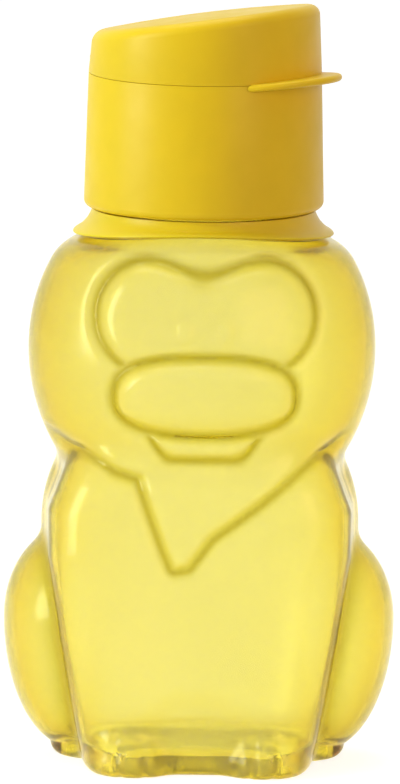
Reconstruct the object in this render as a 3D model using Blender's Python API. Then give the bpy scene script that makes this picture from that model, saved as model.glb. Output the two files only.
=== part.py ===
"""Lion-shaped drinking bottle: a blown body, a screw cap with a spout, and a lid that flips open.

The lion faces -Y and +Z is up. The origin is the centre of the base, on the surface that it stands on.
Sizes are in metres. MM turns a size that is written in millimetres into metres.
"""

import math

import bmesh
import bpy
import numpy as np
from mathutils import Matrix, Vector

MM = 0.001

# Clearances and walls
GAP = 0.3 * MM  # between pieces that seat on each other
BODY_WALL = 1.6 * MM
CAP_WALL = 1.7 * MM

# The lion's main forms. Centres are (X, Y, Z). Radii are half sizes along X, along Y, up and down
HEAD_CENTRE = (0.0, 0.0, 86.9 * MM)
HEAD_RADII = (36.2 * MM, 31.0 * MM, 37.5 * MM, 39.3 * MM)
SHOULDER_TOP = 110.5 * MM  # where the head is cut off at its sides, under the collar
SHOULDER_RISE = 5.5 * MM  # how much higher that is at its front and back
SHOULDER_ROUND = 5.5 * MM
TORSO_CENTRE = (0.0, 5.5 * MM, 49.5 * MM)
TORSO_RADII = (33.2 * MM, 27.64 * MM, 31.5 * MM, 88.0 * MM)
HAUNCH_CENTRE = (26.0 * MM, 3.5 * MM, 29.5 * MM)
HAUNCH_RADII = (14.8 * MM, 19.0 * MM, 19.0 * MM, 28.0 * MM)
PAW_CENTRE = (14.4 * MM, -20.5 * MM, 2.5 * MM)
PAW_RADII = (8.6 * MM, 9.2 * MM, 7.2 * MM, 7.2 * MM)

# The chest and forelegs, one panel. Its half width and its front at heights above the base
PANEL_HALVES = (
    (0.0, 23.4 * MM),
    (14.5 * MM, 26.7 * MM),
    (28.0 * MM, 29.2 * MM),
    (45.0 * MM, 31.5 * MM),
    (54.5 * MM, 31.6 * MM),
    (64.0 * MM, 28.0 * MM),
    (76.0 * MM, 20.0 * MM),
)
PANEL_FRONTS = (
    (0.0, 26.4 * MM),
    (20.0 * MM, 27.4 * MM),
    (46.0 * MM, 28.0 * MM),
    (60.0 * MM, 26.6 * MM),
    (76.0 * MM, 20.0 * MM),
)
PANEL_TOP = 76.0 * MM
PANEL_BACK = 6.0 * MM
PANEL_CORNER = 10.0 * MM
PANEL_BOW = 2.6 * MM  # how far its sides stand behind its middle

# How softly the forms run into each other
NECK_BLEND = 3.0 * MM
HAUNCH_BLEND = 2.0 * MM
PANEL_BLEND = 2.0 * MM
PAW_BLEND = 3.0 * MM

# The face, seen from the front as (X, Z)
FACE_LOBE_CENTRE = (11.4 * MM, 96.2 * MM)
FACE_LOBE_RADII = (11.3 * MM, 11.5 * MM)
FACE_LOBE_BLEND = 12.0 * MM
FACE_HEIGHT = 0.7 * MM
MUZZLE_CENTRE_Z = 81.2 * MM
MUZZLE_HALF = (18.6 * MM, 8.0 * MM)
MUZZLE_CORNER = 7.6 * MM
MUZZLE_HEIGHT = 2.2 * MM
CHIN_FOOT_Z = 66.4 * MM
CHIN_HALVES = (8.2 * MM, 11.6 * MM)  # at its foot and where it meets the muzzle
CHIN_CORNER = 2.4 * MM
CHIN_HEIGHT = 1.0 * MM
EYE_CENTRE = (4.3 * MM, 94.5 * MM)
EYE_RADII = (2.1 * MM, 2.8 * MM)
EYE_HEIGHT = 0.5 * MM
GROOVE_DEPTH = 0.9 * MM
GROOVE_WIDTH = 1.5 * MM
RELIEF_RUN = 4.0 * MM  # how far in from its edge a raised field reaches its height

# The tuft of mane on the chest: its lower edge from the left shoulder round its tip to the right one
TUFT_EDGE = (
    (-30.0 * MM, 71.5 * MM),
    (-24.5 * MM, 68.8 * MM),
    (-17.0 * MM, 64.6 * MM),
    (-12.0 * MM, 63.1 * MM),
    (-10.0 * MM, 57.2 * MM),
    (-7.3 * MM, 49.9 * MM),
    (-5.0 * MM, 44.4 * MM),
    (-2.8 * MM, 44.8 * MM),
    (1.8 * MM, 50.9 * MM),
    (12.0 * MM, 58.3 * MM),
    (30.0 * MM, 73.5 * MM),
)
TUFT_HEIGHT = 1.2 * MM
TUFT_FADE = (64.0 * MM, 74.0 * MM)

# The arch between the paws
ARCH_HALF = 11.0 * MM
ARCH_TOP = 16.0 * MM
ARCH_CORNER = 9.0 * MM
ARCH_DEPTH = 2.0 * MM

# The base
BASE_ROUND = 3.0 * MM
FOOT_WIDTH = 5.0 * MM
DISH_HEIGHT = 1.8 * MM
FLOOR_THICKNESS = 2.2 * MM
FLOOR_ROUND = 3.6 * MM  # inside, between the floor and the wall

# The collar under the cap, and the neck. Its edge dips from the front and the back to the sides
COLLAR_EDGE_Z = (112.8 * MM, 110.7 * MM)  # at the front and the back, and at the sides
COLLAR_STANDOUT = (0.1 * MM, 2.2 * MM)  # of its edge beyond the foot of the cap, at the same places
COLLAR_EDGE = 0.5 * MM
COLLAR_WAIST = (0.28, 0.45)  # the share of its width and height at which its slope steepens
NOTCH_HEIGHT = 0.8 * MM  # between the collar's edge and the head
NOTCH_DEPTH = 2.6 * MM
COLLAR_TOP = 115.8 * MM
NECK_RADIUS = 21.5 * MM
NECK_WALL = 1.8 * MM
NECK_HEIGHT = 24.2 * MM
LIP_CHAMFER = 0.5 * MM
BORE_FLARE = (1.0 * MM, 3.0 * MM)  # its start and its end, below the collar's edge at the sides

# The cap
THREAD_SPACE = 1.4 * MM  # between the neck and the inside of the cap, for the threads
CAP_FOOT_GAP = 0.4 * MM  # between the collar and the foot of the cap
CAP_FOOT_ROUND = 1.5 * MM
CAP_DRAFT = 0.7 * MM  # how much wider the cap is at its foot than at its seam
GASKET_THICKNESS = 1.2 * MM
DECK_THICKNESS = 1.8 * MM
RIM_STEP = 0.6 * MM  # the rim under the lid stands this much above the deck
CENTRING_RING_WALL = 1.2 * MM
CENTRING_RING_DROP = 1.2 * MM  # below the neck's lip
LID_RING_WALL = 1.2 * MM
LID_RING_HEIGHT = 1.5 * MM
LID_RING_CLEARANCE = 0.4 * MM
CAP_TURN = math.radians(-32.0)  # which way the lid's tab points, from +X

# The drinking spout, off the cap's centre towards the tab
SPOUT_OFFSET = 9.0 * MM
SPOUT_BORE = 5.5 * MM
SPOUT_FOOT_RADIUS = 9.6 * MM
SPOUT_RIM_RADIUS = 7.9 * MM
SPOUT_HEIGHT = 7.8 * MM
SPOUT_RIM_ROUND = 0.8 * MM

# The lid, whose slightly domed top rises towards the tab
LID_WALL = 1.6 * MM
LID_HEIGHT = 12.4 * MM  # on its axis
LID_SLOPE = math.radians(9.0)
LID_DOME = 0.8 * MM
LID_DRAFT = math.radians(3.4)
LID_EDGE_ROUND = 2.6 * MM

# The thumb tab, a round plate that rises to its tip and hangs a little below the lid's lower edge
TAB_REACH = 6.6 * MM
TAB_RADIUS = 15.4 * MM
TAB_DROP = 1.9 * MM  # from the lid's lower edge to the plate's underside at its centre
TAB_THICKNESS = 1.5 * MM
TAB_TILT = math.radians(6.5)

# The hinge, opposite the tab
HINGE_INSET = 1.7 * MM  # from the cap's outer wall to the pin's axis
HINGE_RISE = 1.2 * MM  # from the lid's lower edge to the pin's axis
KNUCKLE_RADIUS = 2.0 * MM
KNUCKLE_HALF = 3.0 * MM
KNUCKLE_WEB = 3.5 * MM  # from the pin's axis up into the lid's wall
WEB_REACH = (0.45 * MM, 1.15 * MM)  # from the pin's axis out and in
SWING_SPACE = (0.5 * MM, 3.25 * MM)  # the lid's wall is cut away outside of the first, up to the second
EAR_WIDTH = 3.7 * MM
EAR_DROP = 2.6 * MM
EAR_STANDOFF = 0.1 * MM  # from the cap's outer wall in to the foot of the ears
EAR_STANDOUT = 0.75 * MM  # from the cap's outer wall out to where the ears are rounded off
PIN_RADIUS = 0.9 * MM
PIN_CLEARANCE = 0.25 * MM

# The seal over the spout
PLUG_FLANGE_THICKNESS = 1.9 * MM
PLUG_NOSE_DEPTH = 2.4 * MM
PLUG_NOSE_CLEARANCE = 0.6 * MM
PLUG_NOSE_TAPER = 1.3 * MM
PLUG_STEM_LENGTH = 1.5 * MM
BOSS_BORE = 5.2 * MM
BOSS_WALL = 1.8 * MM

# Facets
BODY_COLUMNS = 66
FACE_CROWDING = 0.66
LEG_ROWS = 9
CHEST_ROWS = 12
FACE_ROWS = 33
CAVITY_COLUMNS = 33
CAVITY_ROWS = 20
CAVITY_STEPS = 3  # heights looked at for each row of the cavity
HALVINGS = 40  # of the span in which a ray's reach is looked for
ROUND_SIDES = 40
SPOUT_SIDES = 24
PIN_SIDES = 14

# Heights and radii that follow
LIP_Z = COLLAR_TOP + NECK_HEIGHT
BORE_RADIUS = NECK_RADIUS - NECK_WALL
GASKET_Z = LIP_Z + GAP
DECK_UNDER = GASKET_Z + GASKET_THICKNESS + GAP
DECK_TOP = DECK_UNDER + DECK_THICKNESS
SEAM_Z = DECK_TOP + RIM_STEP
LID_Z = SEAM_Z + GAP / 2
CAP_FOOT_Z = COLLAR_TOP + CAP_FOOT_GAP
CAP_INNER = NECK_RADIUS + THREAD_SPACE
SEAM_RADIUS = CAP_INNER + CAP_WALL - CAP_DRAFT / 2
CAP_FOOT_RADIUS = SEAM_RADIUS + CAP_DRAFT
LID_INNER = SEAM_RADIUS - LID_WALL
LID_RING_RADIUS = LID_INNER - LID_RING_CLEARANCE
CENTRING_RING_RADIUS = BORE_RADIUS - LID_RING_CLEARANCE
HINGE_X = HINGE_INSET - SEAM_RADIUS
HINGE_Z = LID_Z + HINGE_RISE
SPOUT_RIM_Z = DECK_TOP + SPOUT_HEIGHT
PLUG_FLANGE_Z = SPOUT_RIM_Z + GAP
BOSS_Z = PLUG_FLANGE_Z + PLUG_FLANGE_THICKNESS + GAP
TAB_CENTRE = SEAM_RADIUS + TAB_REACH - TAB_RADIUS
SADDLE = COLLAR_EDGE_Z[0] - COLLAR_EDGE_Z[1]
SMALLEST_REACH = KNUCKLE_RADIUS
LARGEST_REACH = 2 * HEAD_RADII[0]
EAR_INNER = KNUCKLE_HALF + GAP
EAR_OUTER = EAR_INNER + EAR_WIDTH


def clear_scene():
    """Removes what the file holds, so that the model stands alone."""
    for old in list(bpy.data.objects):
        bpy.data.objects.remove(old, do_unlink=True)


def material(name, colour, roughness):
    """A plain plastic of one colour."""
    made = bpy.data.materials.new(name)
    made.use_nodes = True
    shader = made.node_tree.nodes["Principled BSDF"]
    shader.inputs["Base Color"].default_value = (*colour, 1.0)
    shader.inputs["Roughness"].default_value = roughness
    shader.inputs["Metallic"].default_value = 0.0
    made.diffuse_color = (*colour, 1.0)
    return made


def add_object(name, bm, finish=None, place=(0, 0, 0), parent=None):
    """Puts a finished bmesh into the scene as a smooth-shaded object."""
    mesh = bpy.data.meshes.new(name)
    bm.to_mesh(mesh)
    bm.free()
    mesh.shade_smooth()
    mesh.set_sharp_from_angle(angle=math.radians(35))
    made = bpy.data.objects.new(name, mesh)
    made.location = place
    made.parent = parent
    if finish:
        mesh.materials.append(finish)
    bpy.context.scene.collection.objects.link(made)
    return made


def add_cutter(name, bm, place=(0, 0, 0), parent=None):
    """A shape that only cuts or joins, and isn't a piece."""
    made = add_object(name, bm, None, place, parent)
    made.hide_render = True
    made.display_type = "WIRE"
    return made


def boolean(target, operation, cutter):
    """Cuts cutter from target, or joins it on."""
    step = target.modifiers.new(cutter.name, "BOOLEAN")
    step.operation = operation
    step.object = cutter
    step.solver = "EXACT"


def turned(profile, sides):
    """Turns a profile of (radius, height) points round Z. It ends on the axis, or closes on itself."""
    bm = bmesh.new()
    verts = [bm.verts.new((radius, 0, height)) for radius, height in profile]
    edges = [bm.edges.new(pair) for pair in zip(verts, verts[1:])]
    if profile[0][0] > 0:
        edges.append(bm.edges.new((verts[-1], verts[0])))
    bmesh.ops.spin(
        bm,
        geom=verts + edges,
        cent=(0, 0, 0),
        axis=(0, 0, 1),
        angle=2 * math.pi,
        steps=sides,
        use_merge=True,
    )
    bmesh.ops.remove_doubles(bm, verts=bm.verts, dist=0.001 * MM)
    bmesh.ops.recalc_face_normals(bm, faces=bm.faces)
    return bm


def laid_along_y(bm):
    """Turns a shape that was made round Z so that it lies round Y."""
    lay = Vector((0, 0, 1)).rotation_difference(Vector((0, 1, 0))).to_matrix()
    bmesh.ops.rotate(bm, cent=(0, 0, 0), matrix=lay, verts=bm.verts)
    return bm


def rod_along_y(radius, half_width):
    """A round rod along Y, centred on the origin."""
    profile = [(0, -half_width), (radius, -half_width), (radius, half_width), (0, half_width)]
    return laid_along_y(turned(profile, PIN_SIDES))


def keyhole_along_y(radius, back, front, foot_z, half_width):
    """A rod along Y with a foot down, or up, to foot_z, which spans -back to front in X."""
    side = -1 if foot_z > 0 else 1
    start = -math.acos(front / radius)
    end = math.pi + math.acos(back / radius)
    bm = bmesh.new()
    points = []
    for step in range(PIN_SIDES + 1):
        turn = start + (end - start) * step / PIN_SIDES
        points.append((radius * math.cos(turn), radius * math.sin(turn) * side))
    points += [(-back, foot_z), (front, foot_z)]
    verts = [bm.verts.new((x, -half_width, z)) for x, z in points]
    face = bm.faces.new(verts)
    grown = bmesh.ops.extrude_face_region(bm, geom=[face])
    moved = [part for part in grown["geom"] if isinstance(part, bmesh.types.BMVert)]
    bmesh.ops.translate(bm, vec=(0, 2 * half_width, 0), verts=moved)
    bmesh.ops.recalc_face_normals(bm, faces=bm.faces)
    return bm


def smooth_step(low, high, value):
    """0 below low, 1 above high, and a soft rise between."""
    share = np.clip((value - low) / (high - low), 0.0, 1.0)
    return share * share * (3.0 - 2.0 * share)


def smooth_union(a, b, blend):
    """The field of two forms that run into each other over the distance blend."""
    share = np.clip(0.5 + 0.5 * (b - a) / blend, 0.0, 1.0)
    return b + (a - b) * share - blend * share * (1.0 - share)


def oval(offsets, radii):
    """About the distance from an oval's surface, negative inside."""
    shares = [offset / radius for offset, radius in zip(offsets, radii)]
    size = np.sqrt(sum(share * share for share in shares))
    slope = np.sqrt(sum((share / radius) ** 2 for share, radius in zip(shares, radii)))
    return size * (size - 1.0) / np.maximum(slope, 1e-9)


def egg(x, y, z, centre, radii):
    """The field of an egg, whose upper and lower half have radii of their own."""
    up = z - centre[2]
    return oval((x - centre[0], y - centre[1], up), (*radii[:2], np.where(up > 0, *radii[2:])))


def rounded_box(u, v, half_u, half_v, corner):
    """The distance from a rectangle with round corners, negative inside."""
    over_u = np.abs(u) - half_u + corner
    over_v = np.abs(v) - half_v + corner
    outside = np.hypot(np.maximum(over_u, 0.0), np.maximum(over_v, 0.0))
    return outside + np.minimum(np.maximum(over_u, over_v), 0.0) - corner


def above_edge(x, z, points):
    """The distance from a line of points, positive above it."""
    nearest = np.full(np.broadcast(x, z).shape, np.inf)
    for (x0, z0), (x1, z1) in zip(points, points[1:]):
        run = np.array((x1 - x0, z1 - z0))
        share = ((x - x0) * run[0] + (z - z0) * run[1]) / (run @ run)
        share = np.clip(share, 0.0, 1.0)
        away = np.hypot(x - x0 - share * run[0], z - z0 - share * run[1])
        nearest = np.minimum(nearest, away)
    height = np.interp(x, [p[0] for p in points], [p[1] for p in points])
    return np.where(z > height, nearest, -nearest)


def smooth_max(a, b, blend):
    """The field of what two forms share, with its edge rounded."""
    return -smooth_union(-a, -b, blend)


def raised(distance, height, run):
    """A field that rises from its edge to its full height over run, like a pillow."""
    share = np.clip(1.0 + distance / run, 0.0, 1.0)
    return height * (1.0 - share * share)


def groove(distance):
    """The valley along an outline."""
    return -GROOVE_DEPTH * np.exp(-((distance / GROOVE_WIDTH) ** 2))


def face_relief(x, z):
    """How far the face stands out of the head: brow, muzzle, chin, eyes and the valleys between."""
    aside = np.abs(x)
    lobes = [
        oval((x - side * FACE_LOBE_CENTRE[0], z - FACE_LOBE_CENTRE[1]), FACE_LOBE_RADII)
        for side in (-1, 1)
    ]
    brow = smooth_union(lobes[0], lobes[1], FACE_LOBE_BLEND)
    muzzle = rounded_box(x, z - MUZZLE_CENTRE_Z, *MUZZLE_HALF, MUZZLE_CORNER)
    chin_top = MUZZLE_CENTRE_Z - MUZZLE_HALF[1]
    chin_half = np.interp(z, (CHIN_FOOT_Z, chin_top), CHIN_HALVES)
    chin = smooth_max(aside - chin_half, CHIN_FOOT_Z - z, CHIN_CORNER)
    chin = smooth_max(chin, z - MUZZLE_CENTRE_Z, CHIN_CORNER)
    eyes = oval((aside - EYE_CENTRE[0], z - EYE_CENTRE[1]), EYE_RADII)
    clear_of_muzzle = smooth_step(0.0, GROOVE_WIDTH, muzzle)
    lines = np.minimum(groove(brow) * clear_of_muzzle, groove(muzzle))
    lines = np.minimum(lines, groove(chin) * clear_of_muzzle)
    under_muzzle = raised(brow, FACE_HEIGHT, RELIEF_RUN) + raised(chin, CHIN_HEIGHT, CHIN_CORNER)
    fields = under_muzzle * clear_of_muzzle + raised(muzzle, MUZZLE_HEIGHT, RELIEF_RUN)
    return lines + fields + raised(eyes, EYE_HEIGHT, EYE_RADII[0])


def chest_relief(x, z):
    """The mane's tuft on the chest with the valley along it, and the arch sunk between the paws."""
    edge = above_edge(x, z, TUFT_EDGE)
    tuft = TUFT_HEIGHT * smooth_step(-GROOVE_WIDTH, GROOVE_WIDTH, edge) + groove(edge + GROOVE_WIDTH)
    arch = rounded_box(x, z, ARCH_HALF, ARCH_TOP, ARCH_CORNER)
    sunk = ARCH_DEPTH * smooth_step(-GROOVE_WIDTH, GROOVE_WIDTH, -arch)
    return tuft * (1.0 - smooth_step(*TUFT_FADE, z)) - sunk


def foreleg_panel(x, y, z):
    """Chest and forelegs: a bowed, round-cornered section that narrows towards the paws and the neck."""
    half = np.interp(z, *zip(*PANEL_HALVES))
    front = np.interp(z, *zip(*PANEL_FRONTS)) - PANEL_BOW * (x / half) ** 2
    section = rounded_box(x, y + (front - PANEL_BACK) / 2, half, (front + PANEL_BACK) / 2, PANEL_CORNER)
    return smooth_max(section, z - PANEL_TOP, PANEL_CORNER)


def lion_head(x, y, z):
    """The head, an egg whose top is cut off and rounded, lower at its sides than at its front and back."""
    ahead = y * y / (x * x + y * y)
    over_top = z - SHOULDER_TOP - SHOULDER_RISE * ahead
    return smooth_max(egg(x, y, z, HEAD_CENTRE, HEAD_RADII), over_top, SHOULDER_ROUND)


def lion(x, y, z):
    """The lion's outer form as a field that is zero on its surface and negative inside."""
    aside = np.abs(x)
    torso = egg(x, y, z, TORSO_CENTRE, TORSO_RADII)
    haunch = egg(aside, y, z, HAUNCH_CENTRE, HAUNCH_RADII)
    body = smooth_union(torso, haunch, HAUNCH_BLEND)
    body = smooth_union(body, foreleg_panel(x, y, z), PANEL_BLEND)
    body = smooth_union(lion_head(x, y, z), body, NECK_BLEND)
    facing = smooth_step(0.0, PANEL_CORNER, -y)
    body = body - facing * (face_relief(x, z) + chest_relief(x, z))
    return smooth_union(body, egg(aside, y, z, PAW_CENTRE, PAW_RADII), PAW_BLEND)


def reach(angles, heights, inset=0.0):
    """The radii at which rays from the axis leave the lion, inset by a wall. Angle 0 is the front."""
    low = np.full(heights.shape, SMALLEST_REACH)
    high = np.full(heights.shape, LARGEST_REACH)
    for _ in range(HALVINGS):
        middle = (low + high) / 2
        inside = lion(middle * np.sin(angles), -middle * np.cos(angles), heights) < -inset
        low = np.where(inside, middle, low)
        high = np.where(inside, high, middle)
    return low


def column_angles():
    """Angles round the body, closer together on the lion's face."""
    even = np.linspace(-math.pi, math.pi, BODY_COLUMNS, endpoint=False)
    return even - FACE_CROWDING * np.sin(even)


def rounded_in(heights, corner):
    """How far the wall stands in where its lower edge is rounded."""
    into = np.clip((corner - heights) / corner, 0.0, 1.0)
    return corner * (1.0 - np.sqrt(1.0 - into * into))


def outer_wall(angles, heights):
    """Radii of the outer wall at each height, with the edge of the base rounded in."""
    return reach(angles, np.maximum(heights, BASE_ROUND)) - rounded_in(heights, BASE_ROUND)


def ring(angles, radii, heights):
    """The points of one ring round the axis."""
    radii = np.broadcast_to(radii, angles.shape)
    heights = np.broadcast_to(heights, angles.shape)
    return [(r * math.sin(a), -r * math.cos(a), z) for a, r, z in zip(angles, radii, heights)]


def body_heights(angles):
    """Heights of the rings up the outer wall. Over the head they bend to follow the collar's edge."""
    shoulder = COLLAR_EDGE_Z[1] - NOTCH_HEIGHT
    rises = [BASE_ROUND * share for share in (0.12, 0.32, 0.62)]
    for low, high, rows in (
        (BASE_ROUND, TUFT_EDGE[6][1], LEG_ROWS),
        (TUFT_EDGE[6][1], CHIN_FOOT_Z, CHEST_ROWS),
        (CHIN_FOOT_Z, shoulder, FACE_ROWS),
    ):
        rises += list(np.linspace(low, high, rows, endpoint=False))
    heights = np.array([*rises, shoulder])[:, None]
    over_head = np.clip((heights - HEAD_CENTRE[2]) / (shoulder - HEAD_CENTRE[2]), 0.0, 1.0)
    return heights + SADDLE * over_head**2 * np.cos(angles) ** 2


def turn_of(vert):
    """A vertex's angle round the axis, from 0 at the back to a full turn."""
    return math.atan2(vert.co.x, -vert.co.y) + math.pi


def strip(bm, lower, upper):
    """Faces between two rings that start at the back: quads, or triangles where their counts differ."""
    if len(lower) == len(upper):
        for near in range(len(lower)):
            far = (near + 1) % len(lower)
            bm.faces.new((lower[near], lower[far], upper[far], upper[near]))
        return
    lower_turns = [turn_of(vert) for vert in lower[1:]] + [2 * math.pi]
    upper_turns = [turn_of(vert) for vert in upper[1:]] + [2 * math.pi]
    low = high = 0
    while low < len(lower) or high < len(upper):
        corner, other = lower[low % len(lower)], upper[high % len(upper)]
        last = high == len(upper)
        if last or (low < len(lower) and lower_turns[low] <= upper_turns[high]):
            low += 1
            bm.faces.new((corner, lower[low % len(lower)], other))
        else:
            high += 1
            bm.faces.new((corner, upper[high % len(upper)], other))


def lofted(rings, start, end):
    """Joins each ring to the next, and closes the ends on a point."""
    bm = bmesh.new()
    loops = [[bm.verts.new(point) for point in points] for points in rings]
    for lower, upper in zip(loops, loops[1:]):
        strip(bm, lower, upper)
    for loop, tip in ((loops[0], start), (loops[-1], end)):
        centre = bm.verts.new(tip)
        for near, far in zip(loop, loop[1:] + loop[:1]):
            bm.faces.new((near, far, centre))
    bmesh.ops.recalc_face_normals(bm, faces=bm.faces)
    return bm


def outer_rings(angles):
    """Rings from the dish under the base up the lion to its shoulder."""
    heights = body_heights(angles)
    wall = outer_wall(angles, heights)
    foot = wall[0] - BASE_ROUND / 4
    rings = [
        ring(angles, (foot - FOOT_WIDTH) * 0.55, DISH_HEIGHT * 0.9),
        ring(angles, foot - FOOT_WIDTH - DISH_HEIGHT, DISH_HEIGHT * 0.5),
        ring(angles, foot - FOOT_WIDTH, 0.0),
        ring(angles, foot, 0.0),
    ]
    rings += [ring(angles, radii, height) for radii, height in zip(wall, heights)]
    return rings


def neck_rings(angles):
    """Rings from the notch under the collar over its edge, up to the lip and down the bore."""
    aside = np.sin(angles) ** 2
    standout = COLLAR_STANDOUT[0] + (COLLAR_STANDOUT[1] - COLLAR_STANDOUT[0]) * aside
    edge = CAP_FOOT_RADIUS + standout
    edge_z = COLLAR_EDGE_Z[0] - SADDLE * aside
    top = CAP_INNER + CAP_WALL / 2
    waist = top + (edge - top) * COLLAR_WAIST[0]
    waist_z = COLLAR_TOP + (edge_z - COLLAR_TOP) * COLLAR_WAIST[1]
    rings = []
    for radii, heights in (
        (edge - NOTCH_DEPTH, edge_z - NOTCH_HEIGHT / 2),
        (edge - NOTCH_DEPTH, edge_z),
        (edge - COLLAR_EDGE / 4, edge_z),
        (edge, edge_z + COLLAR_EDGE / 4),
        (edge - COLLAR_EDGE / 4, edge_z + COLLAR_EDGE),
        (waist, waist_z),
        (top, COLLAR_TOP),
        (NECK_RADIUS, COLLAR_TOP),
        (NECK_RADIUS, LIP_Z - LIP_CHAMFER),
        (NECK_RADIUS - LIP_CHAMFER, LIP_Z),
        (BORE_RADIUS + LIP_CHAMFER, LIP_Z),
        (BORE_RADIUS, LIP_Z - LIP_CHAMFER),
        (BORE_RADIUS, COLLAR_EDGE_Z[1] - BORE_FLARE[0]),
    ):
        rings.append(ring(angles, radii, heights))
    return rings


def cavity_rings(angles):
    """Rings down the inside of the wall. Each point stands inside of the wall next to it."""
    fine = column_angles()
    floor = DISH_HEIGHT + FLOOR_THICKNESS
    top = COLLAR_EDGE_Z[1] - BORE_FLARE[1]
    fine_heights = np.linspace(top, floor, CAVITY_STEPS * CAVITY_ROWS + 1)
    grid = np.repeat(np.maximum(fine_heights, BASE_ROUND)[:, None], len(fine), axis=1)
    wall = reach(fine, grid, BODY_WALL) - rounded_in(fine_heights - floor, FLOOR_ROUND)[:, None]
    around = np.min([np.roll(wall, shift, axis=1) for shift in (-1, 0, 1)], axis=0)
    rings = []
    for row in range(0, len(fine_heights), CAVITY_STEPS):
        near = around[max(row - 1, 0) : row + 2].min(axis=0)
        rings.append(ring(angles, near[:: BODY_COLUMNS // CAVITY_COLUMNS], fine_heights[row]))
    return rings


def bottle_body(finish):
    """The blown body: one skin from the base to the lip and back down the inside."""
    outer_angles = column_angles()
    inner_angles = outer_angles[:: BODY_COLUMNS // CAVITY_COLUMNS]
    neck_angles = np.linspace(-math.pi, math.pi, ROUND_SIDES, endpoint=False)
    rings = outer_rings(outer_angles) + neck_rings(neck_angles) + cavity_rings(inner_angles)
    under = (0, 0, DISH_HEIGHT)
    inside = (0, 0, DISH_HEIGHT + FLOOR_THICKNESS)
    return add_object("bottle_body", lofted(rings, under, inside), finish)


def neck_gasket(finish):
    """The soft ring that the cap presses onto the lip of the neck."""
    inner = CENTRING_RING_RADIUS + GAP
    outer = CAP_INNER - GAP
    bead = GASKET_THICKNESS / 4
    top = GASKET_Z + GASKET_THICKNESS
    profile = [
        (inner, GASKET_Z),
        (inner, top - bead),
        (inner + bead, top),
        (outer - bead, top),
        (outer, top - bead),
        (outer, GASKET_Z),
    ]
    return add_object("neck_gasket", turned(profile, ROUND_SIDES), finish)


def cap_shell_profile():
    """Half section of the cap: centring ring, thread wall, rounded foot, outer wall, rim and deck."""
    ring_inner = CENTRING_RING_RADIUS - CENTRING_RING_WALL
    ring_foot = LIP_Z - CENTRING_RING_DROP
    ring_top = SEAM_Z + LID_RING_HEIGHT
    profile = [
        (0, DECK_UNDER),
        (ring_inner, DECK_UNDER),
        (ring_inner, ring_foot),
        (CENTRING_RING_RADIUS, ring_foot),
        (CENTRING_RING_RADIUS, DECK_UNDER),
        (CAP_INNER, DECK_UNDER),
        (CAP_INNER, CAP_FOOT_Z),
    ]
    for turn in (0.0, 30.0, 60.0, 90.0):
        angle = math.radians(turn)
        radius = CAP_FOOT_RADIUS - CAP_FOOT_ROUND * (1.0 - math.sin(angle))
        profile.append((radius, CAP_FOOT_Z + CAP_FOOT_ROUND * (1.0 - math.cos(angle))))
    profile += [
        (SEAM_RADIUS, SEAM_Z),
        (LID_RING_RADIUS, SEAM_Z),
        (LID_RING_RADIUS, ring_top - GAP),
        (LID_RING_RADIUS - GAP, ring_top),
        (LID_RING_RADIUS - LID_RING_WALL, ring_top),
        (LID_RING_RADIUS - LID_RING_WALL, DECK_TOP),
        (0, DECK_TOP),
    ]
    return profile


def spout_outside():
    """The spout's outer form, from inside the deck to its rounded rim."""
    profile = [
        (0, DECK_TOP - DECK_THICKNESS / 2),
        (SPOUT_FOOT_RADIUS, DECK_TOP - DECK_THICKNESS / 2),
        (SPOUT_FOOT_RADIUS, DECK_TOP + GAP),
        (SPOUT_FOOT_RADIUS - SPOUT_RIM_ROUND, DECK_TOP + 2 * SPOUT_RIM_ROUND),
        (SPOUT_RIM_RADIUS, SPOUT_RIM_Z - SPOUT_RIM_ROUND),
        (SPOUT_RIM_RADIUS - SPOUT_RIM_ROUND, SPOUT_RIM_Z),
        (0, SPOUT_RIM_Z),
    ]
    return turned(profile, SPOUT_SIDES)


def cylinder(radius, low, high, sides):
    """A plain cylinder on Z, for a bore."""
    return turned([(0, low), (radius, low), (radius, high), (0, high)], sides)


def cap_base(finish, frame):
    """The screw cap: a shell with its spout, the two ears of the hinge and the lid's centring ring."""
    cap = add_object("cap_base", turned(cap_shell_profile(), ROUND_SIDES), finish, parent=frame)
    spout_place = (SPOUT_OFFSET, 0, 0)
    hinge_place = (HINGE_X, 0, HINGE_Z)
    boolean(cap, "UNION", add_cutter("spout_outside", spout_outside(), spout_place, frame))
    foot_back = HINGE_INSET - EAR_STANDOFF
    ears = keyhole_along_y(KNUCKLE_RADIUS, foot_back, KNUCKLE_RADIUS, -EAR_DROP, EAR_OUTER)
    ears = add_cutter("hinge_ears", ears, hinge_place, frame)
    ear_round = cylinder(SEAM_RADIUS + EAR_STANDOUT, SEAM_Z - LID_HEIGHT, SEAM_Z + LID_HEIGHT, ROUND_SIDES)
    boolean(ears, "INTERSECT", add_cutter("ear_round", ear_round, parent=frame))
    boolean(cap, "UNION", ears)
    free = KNUCKLE_RADIUS + GAP
    channel = keyhole_along_y(free, free, free, 2 * free, EAR_INNER)
    boolean(cap, "DIFFERENCE", add_cutter("knuckle_channel", channel, hinge_place, frame))
    pin_hole = rod_along_y(PIN_RADIUS + PIN_CLEARANCE, EAR_OUTER + GAP)
    boolean(cap, "DIFFERENCE", add_cutter("cap_pin_hole", pin_hole, hinge_place, frame))
    bore = cylinder(SPOUT_BORE, DECK_UNDER - GAP, SPOUT_RIM_Z + GAP, SPOUT_SIDES)
    boolean(cap, "DIFFERENCE", add_cutter("spout_bore", bore, spout_place, frame))
    return cap


def lid_lift(x):
    """How much higher the lid's sloping top is at x than on the lid's axis."""
    return x * math.tan(LID_SLOPE)


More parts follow.
